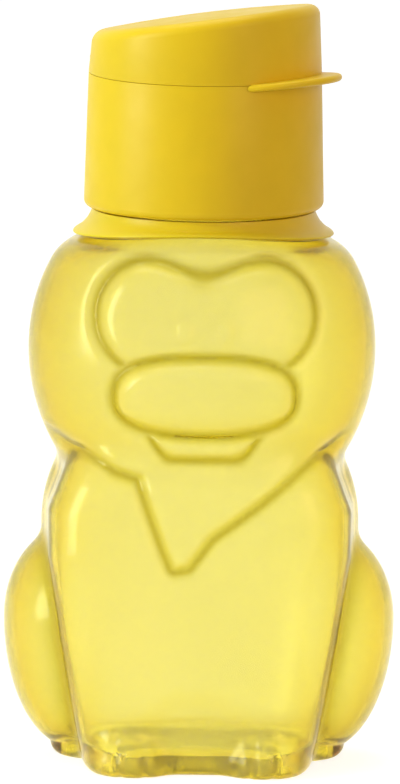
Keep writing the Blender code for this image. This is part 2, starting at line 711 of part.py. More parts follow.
def lid_section(radius, height, edge_round):
    """Half section of one side of the lid before its top slopes: foot, wall, rounded edge and dome."""
    wall_height = height - LID_DOME - edge_round
    corner = radius - wall_height * math.tan(LID_DRAFT) - edge_round
    section = [(radius, LID_Z)]
    for turn in (0.0, 30.0, 60.0, 90.0):
        out = corner + edge_round * math.cos(math.radians(turn))
        up = wall_height + edge_round * math.sin(math.radians(turn))
        section.append((out, LID_Z + up))
    section += [(corner * share, LID_Z + height - LID_DOME * share**2) for share in (0.6, 0.0)]
    return section


def lid_shell():
    """The lid as one turned skin, outside and inside, with its top then sloped."""
    outside = lid_section(SEAM_RADIUS, LID_HEIGHT, LID_EDGE_ROUND)
    inside = lid_section(LID_INNER, LID_HEIGHT - LID_WALL, LID_EDGE_ROUND - LID_WALL / 2)
    bm = turned([*reversed(outside), *inside], ROUND_SIDES)
    wall_height = LID_HEIGHT - LID_DOME - LID_EDGE_ROUND
    for vert in bm.verts:
        vert.co.z += lid_lift(vert.co.x) * min((vert.co.z - LID_Z) / wall_height, 1.0)
    return bm


def tab_plate():
    """The thumb tab as a round plate with a rounded edge, tilted up to its tip."""
    edge = TAB_THICKNESS / 3
    profile = [
        (0, 0),
        (TAB_RADIUS - edge, 0),
        (TAB_RADIUS, edge),
        (TAB_RADIUS, TAB_THICKNESS - edge),
        (TAB_RADIUS - edge, TAB_THICKNESS),
        (0, TAB_THICKNESS),
    ]
    bm = turned(profile, ROUND_SIDES)
    tilt = Matrix.Rotation(-TAB_TILT, 3, "Y")
    bmesh.ops.rotate(bm, cent=(0, 0, 0), matrix=tilt, verts=bm.verts)
    return bm


def inside_of_tab():
    """What the tab must leave free: the cap under the lid's edge, and the lid's inside above it."""
    step = LID_Z + GAP / 3
    profile = [
        (0, LID_Z - LID_HEIGHT),
        (SEAM_RADIUS + GAP, LID_Z - LID_HEIGHT),
        (SEAM_RADIUS + GAP, step),
        (SEAM_RADIUS - LID_WALL / 2, step),
        (SEAM_RADIUS - LID_WALL / 2, LID_Z + LID_HEIGHT),
        (0, LID_Z + LID_HEIGHT),
    ]
    return turned(profile, ROUND_SIDES)


def seal_boss():
    """The round boss that holds the seal's stem in a blind bore, and ends inside the lid's top wall."""
    bore_end = BOSS_Z + PLUG_STEM_LENGTH
    top = LID_Z + LID_HEIGHT - (LID_DOME + LID_WALL) / 2
    profile = [
        (0, bore_end),
        (BOSS_BORE, bore_end),
        (BOSS_BORE, BOSS_Z),
        (BOSS_BORE + BOSS_WALL, BOSS_Z),
        (BOSS_BORE + BOSS_WALL, top),
        (0, top),
    ]
    bm = turned(profile, SPOUT_SIDES)
    bmesh.ops.translate(bm, vec=(SPOUT_OFFSET, 0, 0), verts=bm.verts)
    for vert in bm.verts:
        if vert.co.z > bore_end + GAP / 3:
            vert.co.z += lid_lift(vert.co.x)
    return bm


def flip_lid(finish, hinge):
    """The lid: a hollow shell with a thumb tab, a knuckle on the pin and a boss for the spout's seal."""
    to_centre = -HINGE_X
    centre = (to_centre, 0, -HINGE_Z)
    shell = lid_shell()
    bmesh.ops.translate(shell, vec=centre, verts=shell.verts)
    lid = add_object("flip_lid", shell, finish, parent=hinge)
    tab_place = (to_centre + TAB_CENTRE, 0, LID_Z - TAB_DROP - HINGE_Z)
    tab = add_cutter("tab_plate", tab_plate(), tab_place, hinge)
    boolean(tab, "DIFFERENCE", add_cutter("inside_of_tab", inside_of_tab(), centre, hinge))
    boolean(lid, "UNION", tab)
    boolean(lid, "UNION", add_cutter("seal_boss", seal_boss(), centre, hinge))
    free = KNUCKLE_RADIUS + GAP
    space = keyhole_along_y(free, free, free, -free, EAR_OUTER + GAP)
    boolean(lid, "DIFFERENCE", add_cutter("ear_space", space, (0, 0, 0), hinge))
    out, up = SWING_SPACE
    swing = keyhole_along_y(KNUCKLE_RADIUS, KNUCKLE_RADIUS, -out, up, EAR_OUTER)
    boolean(lid, "DIFFERENCE", add_cutter("swing_space", swing, (0, 0, 0), hinge))
    knuckle = keyhole_along_y(KNUCKLE_RADIUS, *WEB_REACH, KNUCKLE_WEB, KNUCKLE_HALF)
    boolean(lid, "UNION", add_cutter("lid_knuckle", knuckle, (0, 0, 0), hinge))
    pin_hole = rod_along_y(PIN_RADIUS + PIN_CLEARANCE, EAR_OUTER)
    boolean(lid, "DIFFERENCE", add_cutter("lid_pin_hole", pin_hole, (0, 0, 0), hinge))
    return lid


def hinge_pin(finish, hinge):
    """The pin through the two ears and the lid's knuckle, with its ends chamfered."""
    end = EAR_OUTER - GAP
    chamfer = PIN_RADIUS / 4
    profile = [
        (0, -end),
        (PIN_RADIUS - chamfer, -end),
        (PIN_RADIUS, chamfer - end),
        (PIN_RADIUS, end - chamfer),
        (PIN_RADIUS - chamfer, end),
        (0, end),
    ]
    pin = laid_along_y(turned(profile, PIN_SIDES))
    return add_object("hinge_pin", pin, finish, parent=hinge)


def spout_seal(finish, hinge):
    """The soft plug that the lid presses onto the spout: a nose, a flange and a stem in the lid's boss."""
    nose = SPOUT_BORE - PLUG_NOSE_CLEARANCE
    stem = BOSS_BORE - GAP
    flange_top = PLUG_FLANGE_Z + PLUG_FLANGE_THICKNESS
    stem_top = BOSS_Z + PLUG_STEM_LENGTH - GAP
    flange = SPOUT_RIM_RADIUS
    profile = [
        (0, PLUG_FLANGE_Z - PLUG_NOSE_DEPTH),
        (nose - PLUG_NOSE_TAPER, PLUG_FLANGE_Z - PLUG_NOSE_DEPTH),
        (nose, PLUG_FLANGE_Z),
        (flange - GAP, PLUG_FLANGE_Z),
        (flange, PLUG_FLANGE_Z + GAP),
        (flange, flange_top - GAP),
        (flange - GAP, flange_top),
        (stem, flange_top),
        (stem, stem_top - GAP),
        (stem - GAP, stem_top),
        (0, stem_top),
    ]
    place = (SPOUT_OFFSET - HINGE_X, 0, -HINGE_Z)
    return add_object("spout_seal", turned(profile, SPOUT_SIDES), finish, place, hinge)


def add_frame(name, place, turn, parent=None):
    """An empty that carries pieces, on a joint's axis."""
    frame = bpy.data.objects.new(name, None)
    frame.location = place
    frame.rotation_euler = (0, 0, turn)
    frame.parent = parent
    bpy.context.scene.collection.objects.link(frame)
    return frame


def build():
    """Makes every piece of the bottle where it sits when the lid is shut."""
    clear_scene()
    body_plastic = material("clear_yellow_plastic", (0.93, 0.82, 0.16), 0.15)
    cap_plastic = material("yellow_cap_plastic", (0.86, 0.62, 0.03), 0.38)
    soft_seal = material("soft_seal", (0.93, 0.90, 0.80), 0.6)
    cap_frame = add_frame("cap_frame", (0, 0, 0), CAP_TURN)
    hinge_frame = add_frame("hinge_frame", (HINGE_X, 0, HINGE_Z), 0.0, cap_frame)
    bottle_body(body_plastic)
    neck_gasket(soft_seal)
    cap_base(cap_plastic, cap_frame)
    hinge_pin(cap_plastic, hinge_frame)
    flip_lid(cap_plastic, hinge_frame)
    spout_seal(soft_seal, hinge_frame)


build()
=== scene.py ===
"""Lion-shaped drinking bottle: the looks of its blown body, its screw cap, its flip lid and its seals."""

import math
import bpy
import numpy as np
from mathutils import Matrix, Vector


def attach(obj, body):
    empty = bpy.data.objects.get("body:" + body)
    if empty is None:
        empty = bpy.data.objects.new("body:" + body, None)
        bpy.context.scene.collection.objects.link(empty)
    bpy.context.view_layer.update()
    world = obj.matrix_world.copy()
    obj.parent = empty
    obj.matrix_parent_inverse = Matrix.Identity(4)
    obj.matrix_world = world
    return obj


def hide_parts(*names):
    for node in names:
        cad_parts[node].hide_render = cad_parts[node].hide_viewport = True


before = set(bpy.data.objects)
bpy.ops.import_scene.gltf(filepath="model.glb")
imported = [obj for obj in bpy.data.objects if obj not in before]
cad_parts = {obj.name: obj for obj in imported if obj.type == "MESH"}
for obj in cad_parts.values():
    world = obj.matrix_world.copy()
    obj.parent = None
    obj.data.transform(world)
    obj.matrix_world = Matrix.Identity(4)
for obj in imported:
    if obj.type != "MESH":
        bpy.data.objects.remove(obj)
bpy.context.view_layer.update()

bl_info = {
    "name": "Lion drinking bottle",
    "version": (1, 0, 0),
    "blender": (4, 5, 0),
    "location": "View3D > Sidebar > Lion bottle",
    "description": "Models the pieces of a lion-shaped drinking bottle, gives them their plastics and lights them",
    "category": "Add Mesh",
}

MM = 0.001


def mm(*lengths):
    """Lengths in millimetres."""
    return tuple(length * MM for length in lengths)


# The lion's main forms. Centres are (X, Y, Z). Radii are half sizes along X, along Y, up and down
HEAD_CENTRE = mm(0.0, 0.0, 86.9)
HEAD_RADII = mm(36.2, 31.0, 37.5, 39.3)
SHOULDER_TOP = 110.5 * MM
SHOULDER_RISE = 5.5 * MM
SHOULDER_ROUND = 5.5 * MM
TORSO_CENTRE = mm(0.0, 5.5, 49.5)
TORSO_RADII = mm(33.2, 27.64, 31.5, 88.0)
HAUNCH_CENTRE = mm(26.0, 3.5, 29.5)
HAUNCH_RADII = mm(14.8, 19.0, 19.0, 28.0)
PAW_CENTRE = mm(14.4, -20.5, 2.5)
PAW_RADII = mm(8.6, 9.2, 7.2, 7.2)

# The gaps between the toes: how far from the paw's middle they are, and the heights over which they fade
TOE_GAPS = mm(-2.6, 2.6)
TOE_GAP_DEPTH = 0.7 * MM
TOE_GAP_WIDTH = 0.8 * MM
TOE_TOP = mm(6.5, 9.0)

# The crease beside the panel, for painted shade alone, and the heights over which it fades
CREASE_SHADE_WIDTH = 3.4 * MM
CREASE_SHADE_FADE = mm(42.0, 54.0)

# The chest and forelegs, one panel: its half width and its front at heights above the base
PANEL_HEIGHTS = np.array((0.0, 14.5, 28.0, 45.0, 54.5, 64.0, 76.0)) * MM
PANEL_HALVES = np.array((23.4, 26.7, 29.2, 31.5, 31.6, 28.0, 20.0)) * MM
FRONT_HEIGHTS = np.array((0.0, 20.0, 46.0, 60.0, 76.0)) * MM
FRONT_REACHES = np.array((26.4, 27.4, 28.0, 26.6, 20.0)) * MM
PANEL_BACK = 6.0 * MM
PANEL_CORNER = 10.0 * MM
PANEL_BOW = 2.6 * MM

# How softly the forms run into each other
NECK_BLEND = 3.0 * MM
HAUNCH_BLEND = 2.0 * MM
PANEL_BLEND = 2.0 * MM
PAW_BLEND = 3.0 * MM

# The face, seen from the front as (X, Z)
FACE_LOBE_CENTRE = mm(11.4, 96.2)
FACE_LOBE_RADII = mm(11.3, 11.5)
FACE_LOBE_BLEND = 12.0 * MM
FACE_HEIGHT = 0.7 * MM
FACE_X = 0.7 * MM
MUZZLE_CENTRE_Z = 79.6 * MM
MUZZLE_RADII = mm(19.0, 8.8, 8.0)
MUZZLE_POWER = 2.6
MUZZLE_HEIGHT = 2.2 * MM
CHIN_FOOT_Z = 66.4 * MM
CHIN_HALVES = mm(8.2, 11.6)
CHIN_CORNER = 2.4 * MM
CHIN_HEIGHT = 1.0 * MM
EYE_CENTRE = mm(4.2, 93.7)
EYE_RADII = mm(2.1, 2.8)
EYE_HEIGHT = 0.7 * MM
RELIEF_RUN = 4.0 * MM

# The tuft of mane on the chest, by its lower edge, and the arch between the paws
TUFT_X = np.array((-30.0, -24.5, -17.0, -12.0, -10.0, -7.3, -5.0, -2.8, 1.8, 12.0, 30.0)) * MM
TUFT_Z = np.array((71.5, 68.8, 64.6, 63.1, 57.2, 49.9, 44.4, 44.8, 50.9, 58.3, 73.5)) * MM
TUFT_HEIGHT = 1.2 * MM
TUFT_FADE = mm(64.0, 74.0)
ARCH_HALF = 11.0 * MM
ARCH_TOP = 16.0 * MM
ARCH_CORNER = 9.0 * MM
ARCH_DEPTH = 1.8 * MM
ARCH_EDGE = 3.2 * MM

# The base. The steps up its round are shares of a quarter turn
BASE_ROUND = 3.0 * MM
BASE_STEPS = np.linspace(0.12, 1.0, 7)
FOOT_WIDTH = 5.0 * MM
DISH_HEIGHT = 1.8 * MM
FLOOR_TOP = 4.0 * MM
FLOOR_ROUND = 2.0 * MM

# The collar and the neck. Where there are two values for the edge, they are at the front and at the sides
COLLAR_EDGE_Z = mm(112.8, 110.7)
COLLAR_STANDOUT = mm(0.1, 2.2)
COLLAR_EDGE = 0.5 * MM
COLLAR_WAIST = (0.28, 0.45)
NOTCH_HEIGHT = 0.8 * MM
NOTCH_DEPTH = 2.6 * MM
COLLAR_TOP = 115.8 * MM
NECK_RADIUS = 21.5 * MM
BORE_RADIUS = 19.7 * MM
LIP_Z = 140.0 * MM
LIP_CHAMFER = 0.5 * MM
BORE_FLARE = mm(1.0, 3.0)
SPLIT_GAP = 0.02 * MM

# The two-start thread: the section of its ridges, the share over which they thin out, and where they start
THREAD_LEAD = 8.0 * MM
THREAD_ROOT = 1.0 * MM
THREAD_CREST = 0.45 * MM
THREAD_SINK = 0.15 * MM
THREAD_END = 0.08
NECK_THREAD_Z = 122.0 * MM
NECK_THREAD_TURNS = 1.2
CAP_THREAD_Z = 118.0 * MM
CAP_THREAD_TURNS = 0.9

# The cap. It, the lid, the pin and the spout's seal are modelled with the tab along X, and turned at the end
CAP_INNER = 22.9 * MM
SEAM_RADIUS = 24.25 * MM
CAP_FOOT_RADIUS = 24.95 * MM
CAP_FOOT_ROUND = 1.5 * MM
CAP_FOOT_Z = 116.2 * MM
DECK_UNDER = 141.8 * MM
DECK_TOP = 143.6 * MM
SEAM_Z = 144.2 * MM
GASKET_Z = 140.3 * MM
GASKET_THICKNESS = 1.2 * MM
CENTRING_RING_RADIUS = 19.3 * MM
CENTRING_RING_WALL = 1.2 * MM
CENTRING_RING_FOOT = 138.8 * MM
LID_RING_RADIUS = 22.25 * MM
LID_RING_WALL = 1.2 * MM
LID_RING_HEIGHT = 1.5 * MM
CAP_EDGE = 0.25 * MM
SEAM_EDGE = 0.1 * MM
CAP_TURN = math.radians(-32.0)

# The spout and the air hole
SPOUT_OFFSET = 9.0 * MM
SPOUT_BORE = 5.5 * MM
SPOUT_BORE_EDGE = 0.4 * MM
SPOUT_FOOT_RADIUS = 9.6 * MM
SPOUT_FOOT_HEIGHT = 2.4 * MM
SPOUT_RIM_RADIUS = 7.9 * MM
SPOUT_WAIST_RADIUS = 8.25 * MM
SPOUT_RIM_Z = 151.4 * MM
SPOUT_RIM_ROUND = 0.8 * MM
VENT_PLACE = mm(-14.0, 6.0)
VENT_RADIUS = 0.8 * MM

# The lid. In the closed bottle its foot stands a little into the gap at the seam
LID_Z = 144.35 * MM
LID_FOOT = LID_Z - 0.07 * MM
LID_WALL = 1.6 * MM
LID_INNER = SEAM_RADIUS - LID_WALL
LID_HEIGHT = 12.4 * MM
LID_SLOPE = math.radians(9.0)
LID_DOME = 0.8 * MM
LID_DRAFT = math.radians(3.4)
LID_EDGE_ROUND = 2.6 * MM
TAB_REACH = 6.6 * MM
TAB_RADIUS = 15.4 * MM
TAB_DROP = 1.9 * MM
TAB_THICKNESS = 1.5 * MM
TAB_TILT = math.radians(6.5)
TAB_CENTRE = SEAM_RADIUS + TAB_REACH - TAB_RADIUS

# The hinge
HINGE_X = 1.7 * MM - SEAM_RADIUS
HINGE_Z = LID_Z + 1.2 * MM
KNUCKLE_RADIUS = 2.0 * MM
KNUCKLE_HALF = 3.0 * MM
KNUCKLE_WEB = 3.5 * MM
WEB_REACH = mm(0.45, 1.15)
SWING_SPACE = mm(0.5, 3.25)
EAR_INNER = 3.3 * MM
EAR_OUTER = 7.0 * MM
EAR_BACK = 1.6 * MM
EAR_DROP = 2.6 * MM
EAR_REACH = SEAM_RADIUS + 0.75 * MM
HINGE_FREE = 2.3 * MM
PIN_RADIUS = 0.9 * MM
PIN_HOLE = 1.15 * MM

# The soft seals
GASKET_BEAD = 0.3 * MM
PLUG_FLANGE_Z = 151.7 * MM
PLUG_FLANGE_THICKNESS = 1.9 * MM
PLUG_NOSE_DEPTH = 2.4 * MM
PLUG_NOSE_RADIUS = 4.9 * MM
PLUG_NOSE_TAPER = 1.3 * MM
PLUG_NOSE_DISH = 0.6 * MM
PLUG_NOSE_ROUND = 0.3 * MM
PLUG_NOSE_END = 0.2 * MM
PLUG_STEM_RADIUS = 4.9 * MM
PLUG_STEM_TOP = 155.1 * MM
BOSS_Z = 153.9 * MM
BOSS_EDGE = 0.3 * MM
BOSS_BORE = 5.2 * MM
BOSS_BORE_END = 155.4 * MM
BOSS_RADIUS = 7.0 * MM

GAP = 0.3 * MM
CLOSE = 0.001 * MM  # points nearer than this are one point
RAY_START = 2.0 * MM  # the radius at which the search for the lion's surface begins
HALVINGS = 26
FACE_CROWDING = 0.45  # how much closer the columns stand on the face
ROD_SIDES = 40
VENT_SIDES = 24
THREAD_STEPS = 120

# Edges up to these angles are shaded smooth. The body has its own, because the band inside its top bends by
# about the smaller one
SMOOTH_ANGLE = math.radians(35.0)
BODY_SMOOTH_ANGLE = math.radians(75.0)

# The plastics. A grain is the scale of its fine texture, the scale of its ripple, and its height
BLOWN_GRAIN = (3200.0, 40.0, 0.006 * MM)
MOULDED_GRAIN = (2600.0, 160.0, 0.012 * MM)
SOFT_GRAIN = (1800.0, 220.0, 0.02 * MM)
RIPPLE_SHARE = 3.0
SMUDGE_ROUGHNESS = 0.12
# How fast the shade painted on at a slant grows towards the silhouette
SLANT_POWER = 1.3
DEPTH_DENSITY = 190.0

# The soft lights, each by its place, its size and its colour. They point at the middle of the bottle
LIGHT_AIM = Vector((0.0, 0.0, 0.09))
KEY_LIGHT = ((-1.03, -0.38, 0.3), (0.4, 0.9), (0.9, 1.0, 0.9))
TOP_LIGHT = ((-0.1, 0.15, 1.1), (0.8, 0.8), (1.0, 1.0, 1.0))
FILL_LIGHT = ((0.9, -1.1, 0.5), (0.8, 0.8), (1.0, 0.66, 0.45))
FLOOR_LIFT = 0.78

# The camera, at the photograph's angle
CAMERA_PLACE = Vector((-0.0003, -3.2, 0.53))
CAMERA_AIM = Vector((-0.0003, 0.0, 0.0772))
CAMERA_ROLL = math.radians(0.7)
CAMERA_SENSOR = 24.0
VIEW_HEIGHT = 784 / 4800.0  # the picture's 784 pixels, at 4800 to a metre


# ---------------------------------------------------------------- sizes and colours a user would change


LENGTH = {"unit": "LENGTH", "precision": 5}
COLOUR = {"subtype": "COLOR", "size": 3, "min": 0.0, "max": 1.0}
SHARE = {"subtype": "FACTOR", "min": 0.0, "max": 1.0}
POWER = {"unit": "POWER"}


class LION_BOTTLE_PG_body(bpy.types.PropertyGroup):
    """The blown body."""

    wall: bpy.props.FloatProperty(name="Wall", description="Thickness of the wall", default=1.6 * MM, **LENGTH)
    groove_depth: bpy.props.FloatProperty(
        name="Groove depth", description="Depth of the valleys of the face and the tuft", default=1.1 * MM, **LENGTH
    )
    groove_width: bpy.props.FloatProperty(
        name="Groove width", description="Half width of these valleys", default=1.4 * MM, **LENGTH
    )
    columns: bpy.props.IntProperty(name="Columns", description="Faces round the body", default=240, min=48)
    rows: bpy.props.IntProperty(name="Rows", description="Faces from the base to the shoulder", default=220, min=48)
    tint: bpy.props.FloatVectorProperty(
        name="Tint", description="Colour of the wall's surface, seen straight on", default=(0.92, 0.93, 0.94), **COLOUR
    )
    # Painted shade: at a slant the wall's colour is mixed towards this, standing in for the longer path of light
    # through the wall
    slant_shade_tint: bpy.props.FloatVectorProperty(
        name="Painted shade at a slant", description="Shade painted on where the wall is seen at a slant", default=(0.93, 0.76, 0.03), **COLOUR
    )
    # Painted shade: the colour in the valleys of the relief and along the crease beside the panel
    valley_shade_tint: bpy.props.FloatVectorProperty(
        name="Painted shade in the valleys", description="Shade painted into the valleys and along the crease", default=(0.6, 0.55, 0.13), **COLOUR
    )
    depth_tint: bpy.props.FloatVectorProperty(
        name="Tint in depth", description="Colour that is left inside the wall", default=(0.975, 0.87, 0.09), **COLOUR
    )
    edge_tint: bpy.props.FloatVectorProperty(
        name="Tint at the edges", description="Tint of the glossy coat", default=(0.995, 0.98, 0.74), **COLOUR
    )
    floor_tint: bpy.props.FloatVectorProperty(
        name="Tint of the floor", description="Colour of the floor and the neck", default=(1.0, 0.95, 0.35), **COLOUR
    )
    thick_tint: bpy.props.FloatVectorProperty(
        name="Tint where thick", description="Colour of the collar", default=(0.90, 0.67, 0.012), **COLOUR
    )
    clearness: bpy.props.FloatProperty(
        name="Clearness", description="Share of the light that passes the wall", default=0.92, **SHARE
    )
    floor_clearness: bpy.props.FloatProperty(
        name="Clearness of the floor", description="Share that passes the floor and the neck", default=0.9, **SHARE
    )
    thick_clearness: bpy.props.FloatProperty(
        name="Clearness where thick", description="Share that passes the collar", default=0.15, **SHARE
    )


class LION_BOTTLE_PG_cap(bpy.types.PropertyGroup):
    """The cap and the lid."""

    sides: bpy.props.IntProperty(name="Sides", description="Faces round the cap and the lid", default=144, min=40)
    thread_height: bpy.props.FloatProperty(
        name="Thread height", description="Height of the thread's ridges", default=0.9 * MM, **LENGTH
    )
    colour: bpy.props.FloatVectorProperty(
        name="Colour", description="Colour of the opaque plastic", default=(0.80, 0.555, 0.012), **COLOUR
    )
    seal_colour: bpy.props.FloatVectorProperty(
        name="Seal colour", description="Colour of the soft seals", default=(0.88, 0.84, 0.72), **COLOUR
    )


class LION_BOTTLE_PG_studio(bpy.types.PropertyGroup):
    """Floor and light."""

    floor_colour: bpy.props.FloatVectorProperty(
        name="Floor", description="Colour of the floor", default=(0.55, 0.55, 0.55), **COLOUR
    )
    floor_half: bpy.props.FloatProperty(name="Floor size", description="Half its width", default=9.0, **LENGTH)
    key_power: bpy.props.FloatProperty(name="Key", description="Softbox at the left", default=12.5, **POWER)
    top_power: bpy.props.FloatProperty(name="Top", description="Softbox above", default=5.5, **POWER)
    fill_power: bpy.props.FloatProperty(name="Fill", description="Weak light from the right", default=6.5, **POWER)
    sky: bpy.props.FloatProperty(name="Sky", description="Even light from all sides", default=0.3, **SHARE)


# ---------------------------------------------------------------- the lion's form


def smooth_step(low, high, value):
    """0 below low, 1 above high, and a soft rise between."""
    share = np.clip((value - low) / (high - low), 0.0, 1.0)
    return share * share * (3.0 - 2.0 * share)


def smooth_union(a, b, blend):
    """The field of two forms that run into each other over the distance blend."""
    share = np.clip(0.5 + 0.5 * (b - a) / blend, 0.0, 1.0)
    return b + (a - b) * share - blend * share * (1.0 - share)


def smooth_max(a, b, blend):
    """The field of what two forms share, with its edge rounded."""
    return -smooth_union(-a, -b, blend)


def oval(offsets, radii):
    """About the distance from an oval's surface, negative inside."""
    shares = [offset / radius for offset, radius in zip(offsets, radii)]
    size = np.sqrt(sum(share * share for share in shares))
    slope = np.sqrt(sum((share / radius) ** 2 for share, radius in zip(shares, radii)))
    return size * (size - 1.0) / np.maximum(slope, 1e-9)


def egg(x, y, z, centre, radii):
    """The field of an egg, whose upper and lower half have radii of their own."""
    up = z - centre[2]
    return oval((x - centre[0], y - centre[1], up), (*radii[:2], np.where(up > 0, *radii[2:])))


def rounded_box(u, v, half_u, half_v, corner):
    """The distance from a rectangle with round corners, negative inside."""
    over_u = np.abs(u) - half_u + corner
    over_v = np.abs(v) - half_v + corner
    outside = np.hypot(np.maximum(over_u, 0.0), np.maximum(over_v, 0.0))
    return outside + np.minimum(np.maximum(over_u, over_v), 0.0) - corner


def squared_oval(u, v, half_u, up, down, power):
    """About the distance from an oval with fuller corners, negative inside."""
    half_v = np.where(v > 0, up, down)
    across, along = np.abs(u) / half_u, np.abs(v) / half_v
    size = np.maximum(across**power + along**power, 1e-9) ** (1 / power)
    slope = np.hypot(across ** (power - 1) / half_u, along ** (power - 1) / half_v) * size ** (1 - power)
    return (size - 1.0) / np.maximum(slope, 1.0)


def above_tuft_edge(x, z):
    """The distance from the tuft's lower edge, positive above it."""
    nearest = np.full(np.broadcast(x, z).shape, np.inf)
    for x0, z0, x1, z1 in zip(TUFT_X, TUFT_Z, TUFT_X[1:], TUFT_Z[1:]):
        run = np.array((x1 - x0, z1 - z0))
        share = np.clip(((x - x0) * run[0] + (z - z0) * run[1]) / (run @ run), 0.0, 1.0)
        nearest = np.minimum(nearest, np.hypot(x - x0 - share * run[0], z - z0 - share * run[1]))
    return np.where(z > np.interp(x, TUFT_X, TUFT_Z), nearest, -nearest)


def raised(distance, height, run):
    """A field that rises from its edge to its full height over run, like a pillow."""
    share = np.clip(1.0 + distance / run, 0.0, 1.0)
    return height * (1.0 - share * share)


class Lion:
    """The lion's outer form as a field that is zero on its surface and negative inside."""

    def __init__(self, sizes):
        self.depth = sizes.groove_depth
        self.width = sizes.groove_width

    def groove(self, distance, share=1.0):
        """The valley along an outline."""
        return -self.depth * share * np.exp(-((distance / self.width) ** 2))

    def face(self, x, z):
        """The valleys of the face, and how far its brow, muzzle, chin and eyes stand out of the head."""
        x = x - FACE_X
        aside = np.abs(x)
        sides = (-FACE_LOBE_CENTRE[0], FACE_LOBE_CENTRE[0])
        lobes = (oval((x - side, z - FACE_LOBE_CENTRE[1]), FACE_LOBE_RADII) for side in sides)
        brow = smooth_union(*lobes, FACE_LOBE_BLEND)
        muzzle = squared_oval(x, z - MUZZLE_CENTRE_Z, *MUZZLE_RADII, MUZZLE_POWER)
        chin_half = np.interp(z, (CHIN_FOOT_Z, MUZZLE_CENTRE_Z - MUZZLE_RADII[2]), CHIN_HALVES)
        chin = smooth_max(aside - chin_half, CHIN_FOOT_Z - z, CHIN_CORNER)
        chin = smooth_max(chin, z - MUZZLE_CENTRE_Z, CHIN_CORNER)
        eyes = oval((aside - EYE_CENTRE[0], z - EYE_CENTRE[1]), EYE_RADII)
        clear = smooth_step(0.0, self.width, muzzle)
        lines = np.minimum(self.groove(brow) * clear, self.groove(muzzle))
        lines = np.minimum(lines, self.groove(chin) * clear)
        fields = (raised(brow, FACE_HEIGHT, RELIEF_RUN) + raised(chin, CHIN_HEIGHT, CHIN_CORNER)) * clear
        fields = fields + raised(muzzle, MUZZLE_HEIGHT, RELIEF_RUN)
        return lines, fields + raised(eyes, EYE_HEIGHT, EYE_RADII[0])

    def chest(self, x, z):
        """The valley along the mane's tuft, and how far the tuft stands out and the arch between the paws in."""
        edge = above_tuft_edge(x, z)
        shown = 1.0 - smooth_step(*TUFT_FADE, z)
        tuft = TUFT_HEIGHT * smooth_step(-self.width, self.width, edge)
        arch = rounded_box(x, z, ARCH_HALF, ARCH_TOP, ARCH_CORNER)
        sunk = ARCH_DEPTH * smooth_step(-ARCH_EDGE, ARCH_EDGE, -arch)
        return self.groove(edge + self.width) * shown, tuft * shown - sunk

    def body_and_panel(self, x, y, z):
        """The torso with the haunches, and the panel of the front legs before it."""
        torso = egg(x, y, z, TORSO_CENTRE, TORSO_RADII)
        haunch = egg(np.abs(x), y, z, HAUNCH_CENTRE, HAUNCH_RADII)
        half = np.interp(z, PANEL_HEIGHTS, PANEL_HALVES)
        front = np.interp(z, FRONT_HEIGHTS, FRONT_REACHES) - PANEL_BOW * (x / half) ** 2
        panel = rounded_box(x, y + (front - PANEL_BACK) / 2, half, (front + PANEL_BACK) / 2, PANEL_CORNER)
        return smooth_union(torso, haunch, HAUNCH_BLEND), smooth_max(panel, z - PANEL_HEIGHTS[-1], PANEL_CORNER)

    def valley(self, x, y, z):
        """How deep a point of the front lies in a valley of the relief, or beside the panel, from 0 to 1: the mask of
        painted shade.
        """
        lines = np.minimum(self.face(x, z)[0], self.chest(x, z)[0])
        depth = np.clip(-lines / self.depth, 0.0, 1.0) ** 2
        body, panel = self.body_and_panel(x, y, z)
        # Painted shade along the crease where the panel meets the body
        crease = np.exp(-(((body - panel) / CREASE_SHADE_WIDTH) ** 2)) * (1.0 - smooth_step(*CREASE_SHADE_FADE, z))
        return np.maximum(depth * smooth_step(0.0, PANEL_CORNER, -y), crease)

    def __call__(self, x, y, z):
        aside = np.abs(x)
        body, panel = self.body_and_panel(x, y, z)
        body = smooth_union(body, panel, PANEL_BLEND)
        over_top = z - SHOULDER_TOP - SHOULDER_RISE * y * y / (x * x + y * y)
        head = smooth_max(egg(x, y, z, HEAD_CENTRE, HEAD_RADII), over_top, SHOULDER_ROUND)
        body = smooth_union(head, body, NECK_BLEND)
        facing = smooth_step(0.0, PANEL_CORNER, -y)
        body = body - facing * sum(self.face(x, z) + self.chest(x, z))
        gaps = sum(np.exp(-(((aside - PAW_CENTRE[0] - gap) / TOE_GAP_WIDTH) ** 2)) for gap in TOE_GAPS)
        gaps = TOE_GAP_DEPTH * gaps * facing * (1.0 - smooth_step(*TOE_TOP, z))
        return smooth_union(body, egg(aside, y, z, PAW_CENTRE, PAW_RADII), PAW_BLEND) + gaps

    def reach(self, angles, heights, inset=0.0):
        """The radii at which rays from the axis leave the lion, inset by a wall. Angle 0 is the front."""
        low = np.full(heights.shape, RAY_START)
        high = np.full(heights.shape, 2 * HEAD_RADII[0])
        for _ in range(HALVINGS):
            middle = (low + high) / 2
            inside = self(middle * np.sin(angles), -middle * np.cos(angles), heights) < -inset
            low = np.where(inside, middle, low)
            high = np.where(inside, high, middle)
        return low


def rings(angles, path):
    """The points of rings round the axis, given by their radii and heights."""
    made = []
    for radii, heights in path:
        radii, heights = np.broadcast_to(radii, angles.shape), np.broadcast_to(heights, angles.shape)
        made.append(np.stack((radii * np.sin(angles), -radii * np.cos(angles), heights), axis=-1))
    return np.array(made)


def rounded_in(heights, corner):
    """How far a wall stands in where its lower edge is rounded."""
    into = np.clip((corner - heights) / corner, 0.0, 1.0)
    return corner * (1.0 - np.sqrt(1.0 - into * into))


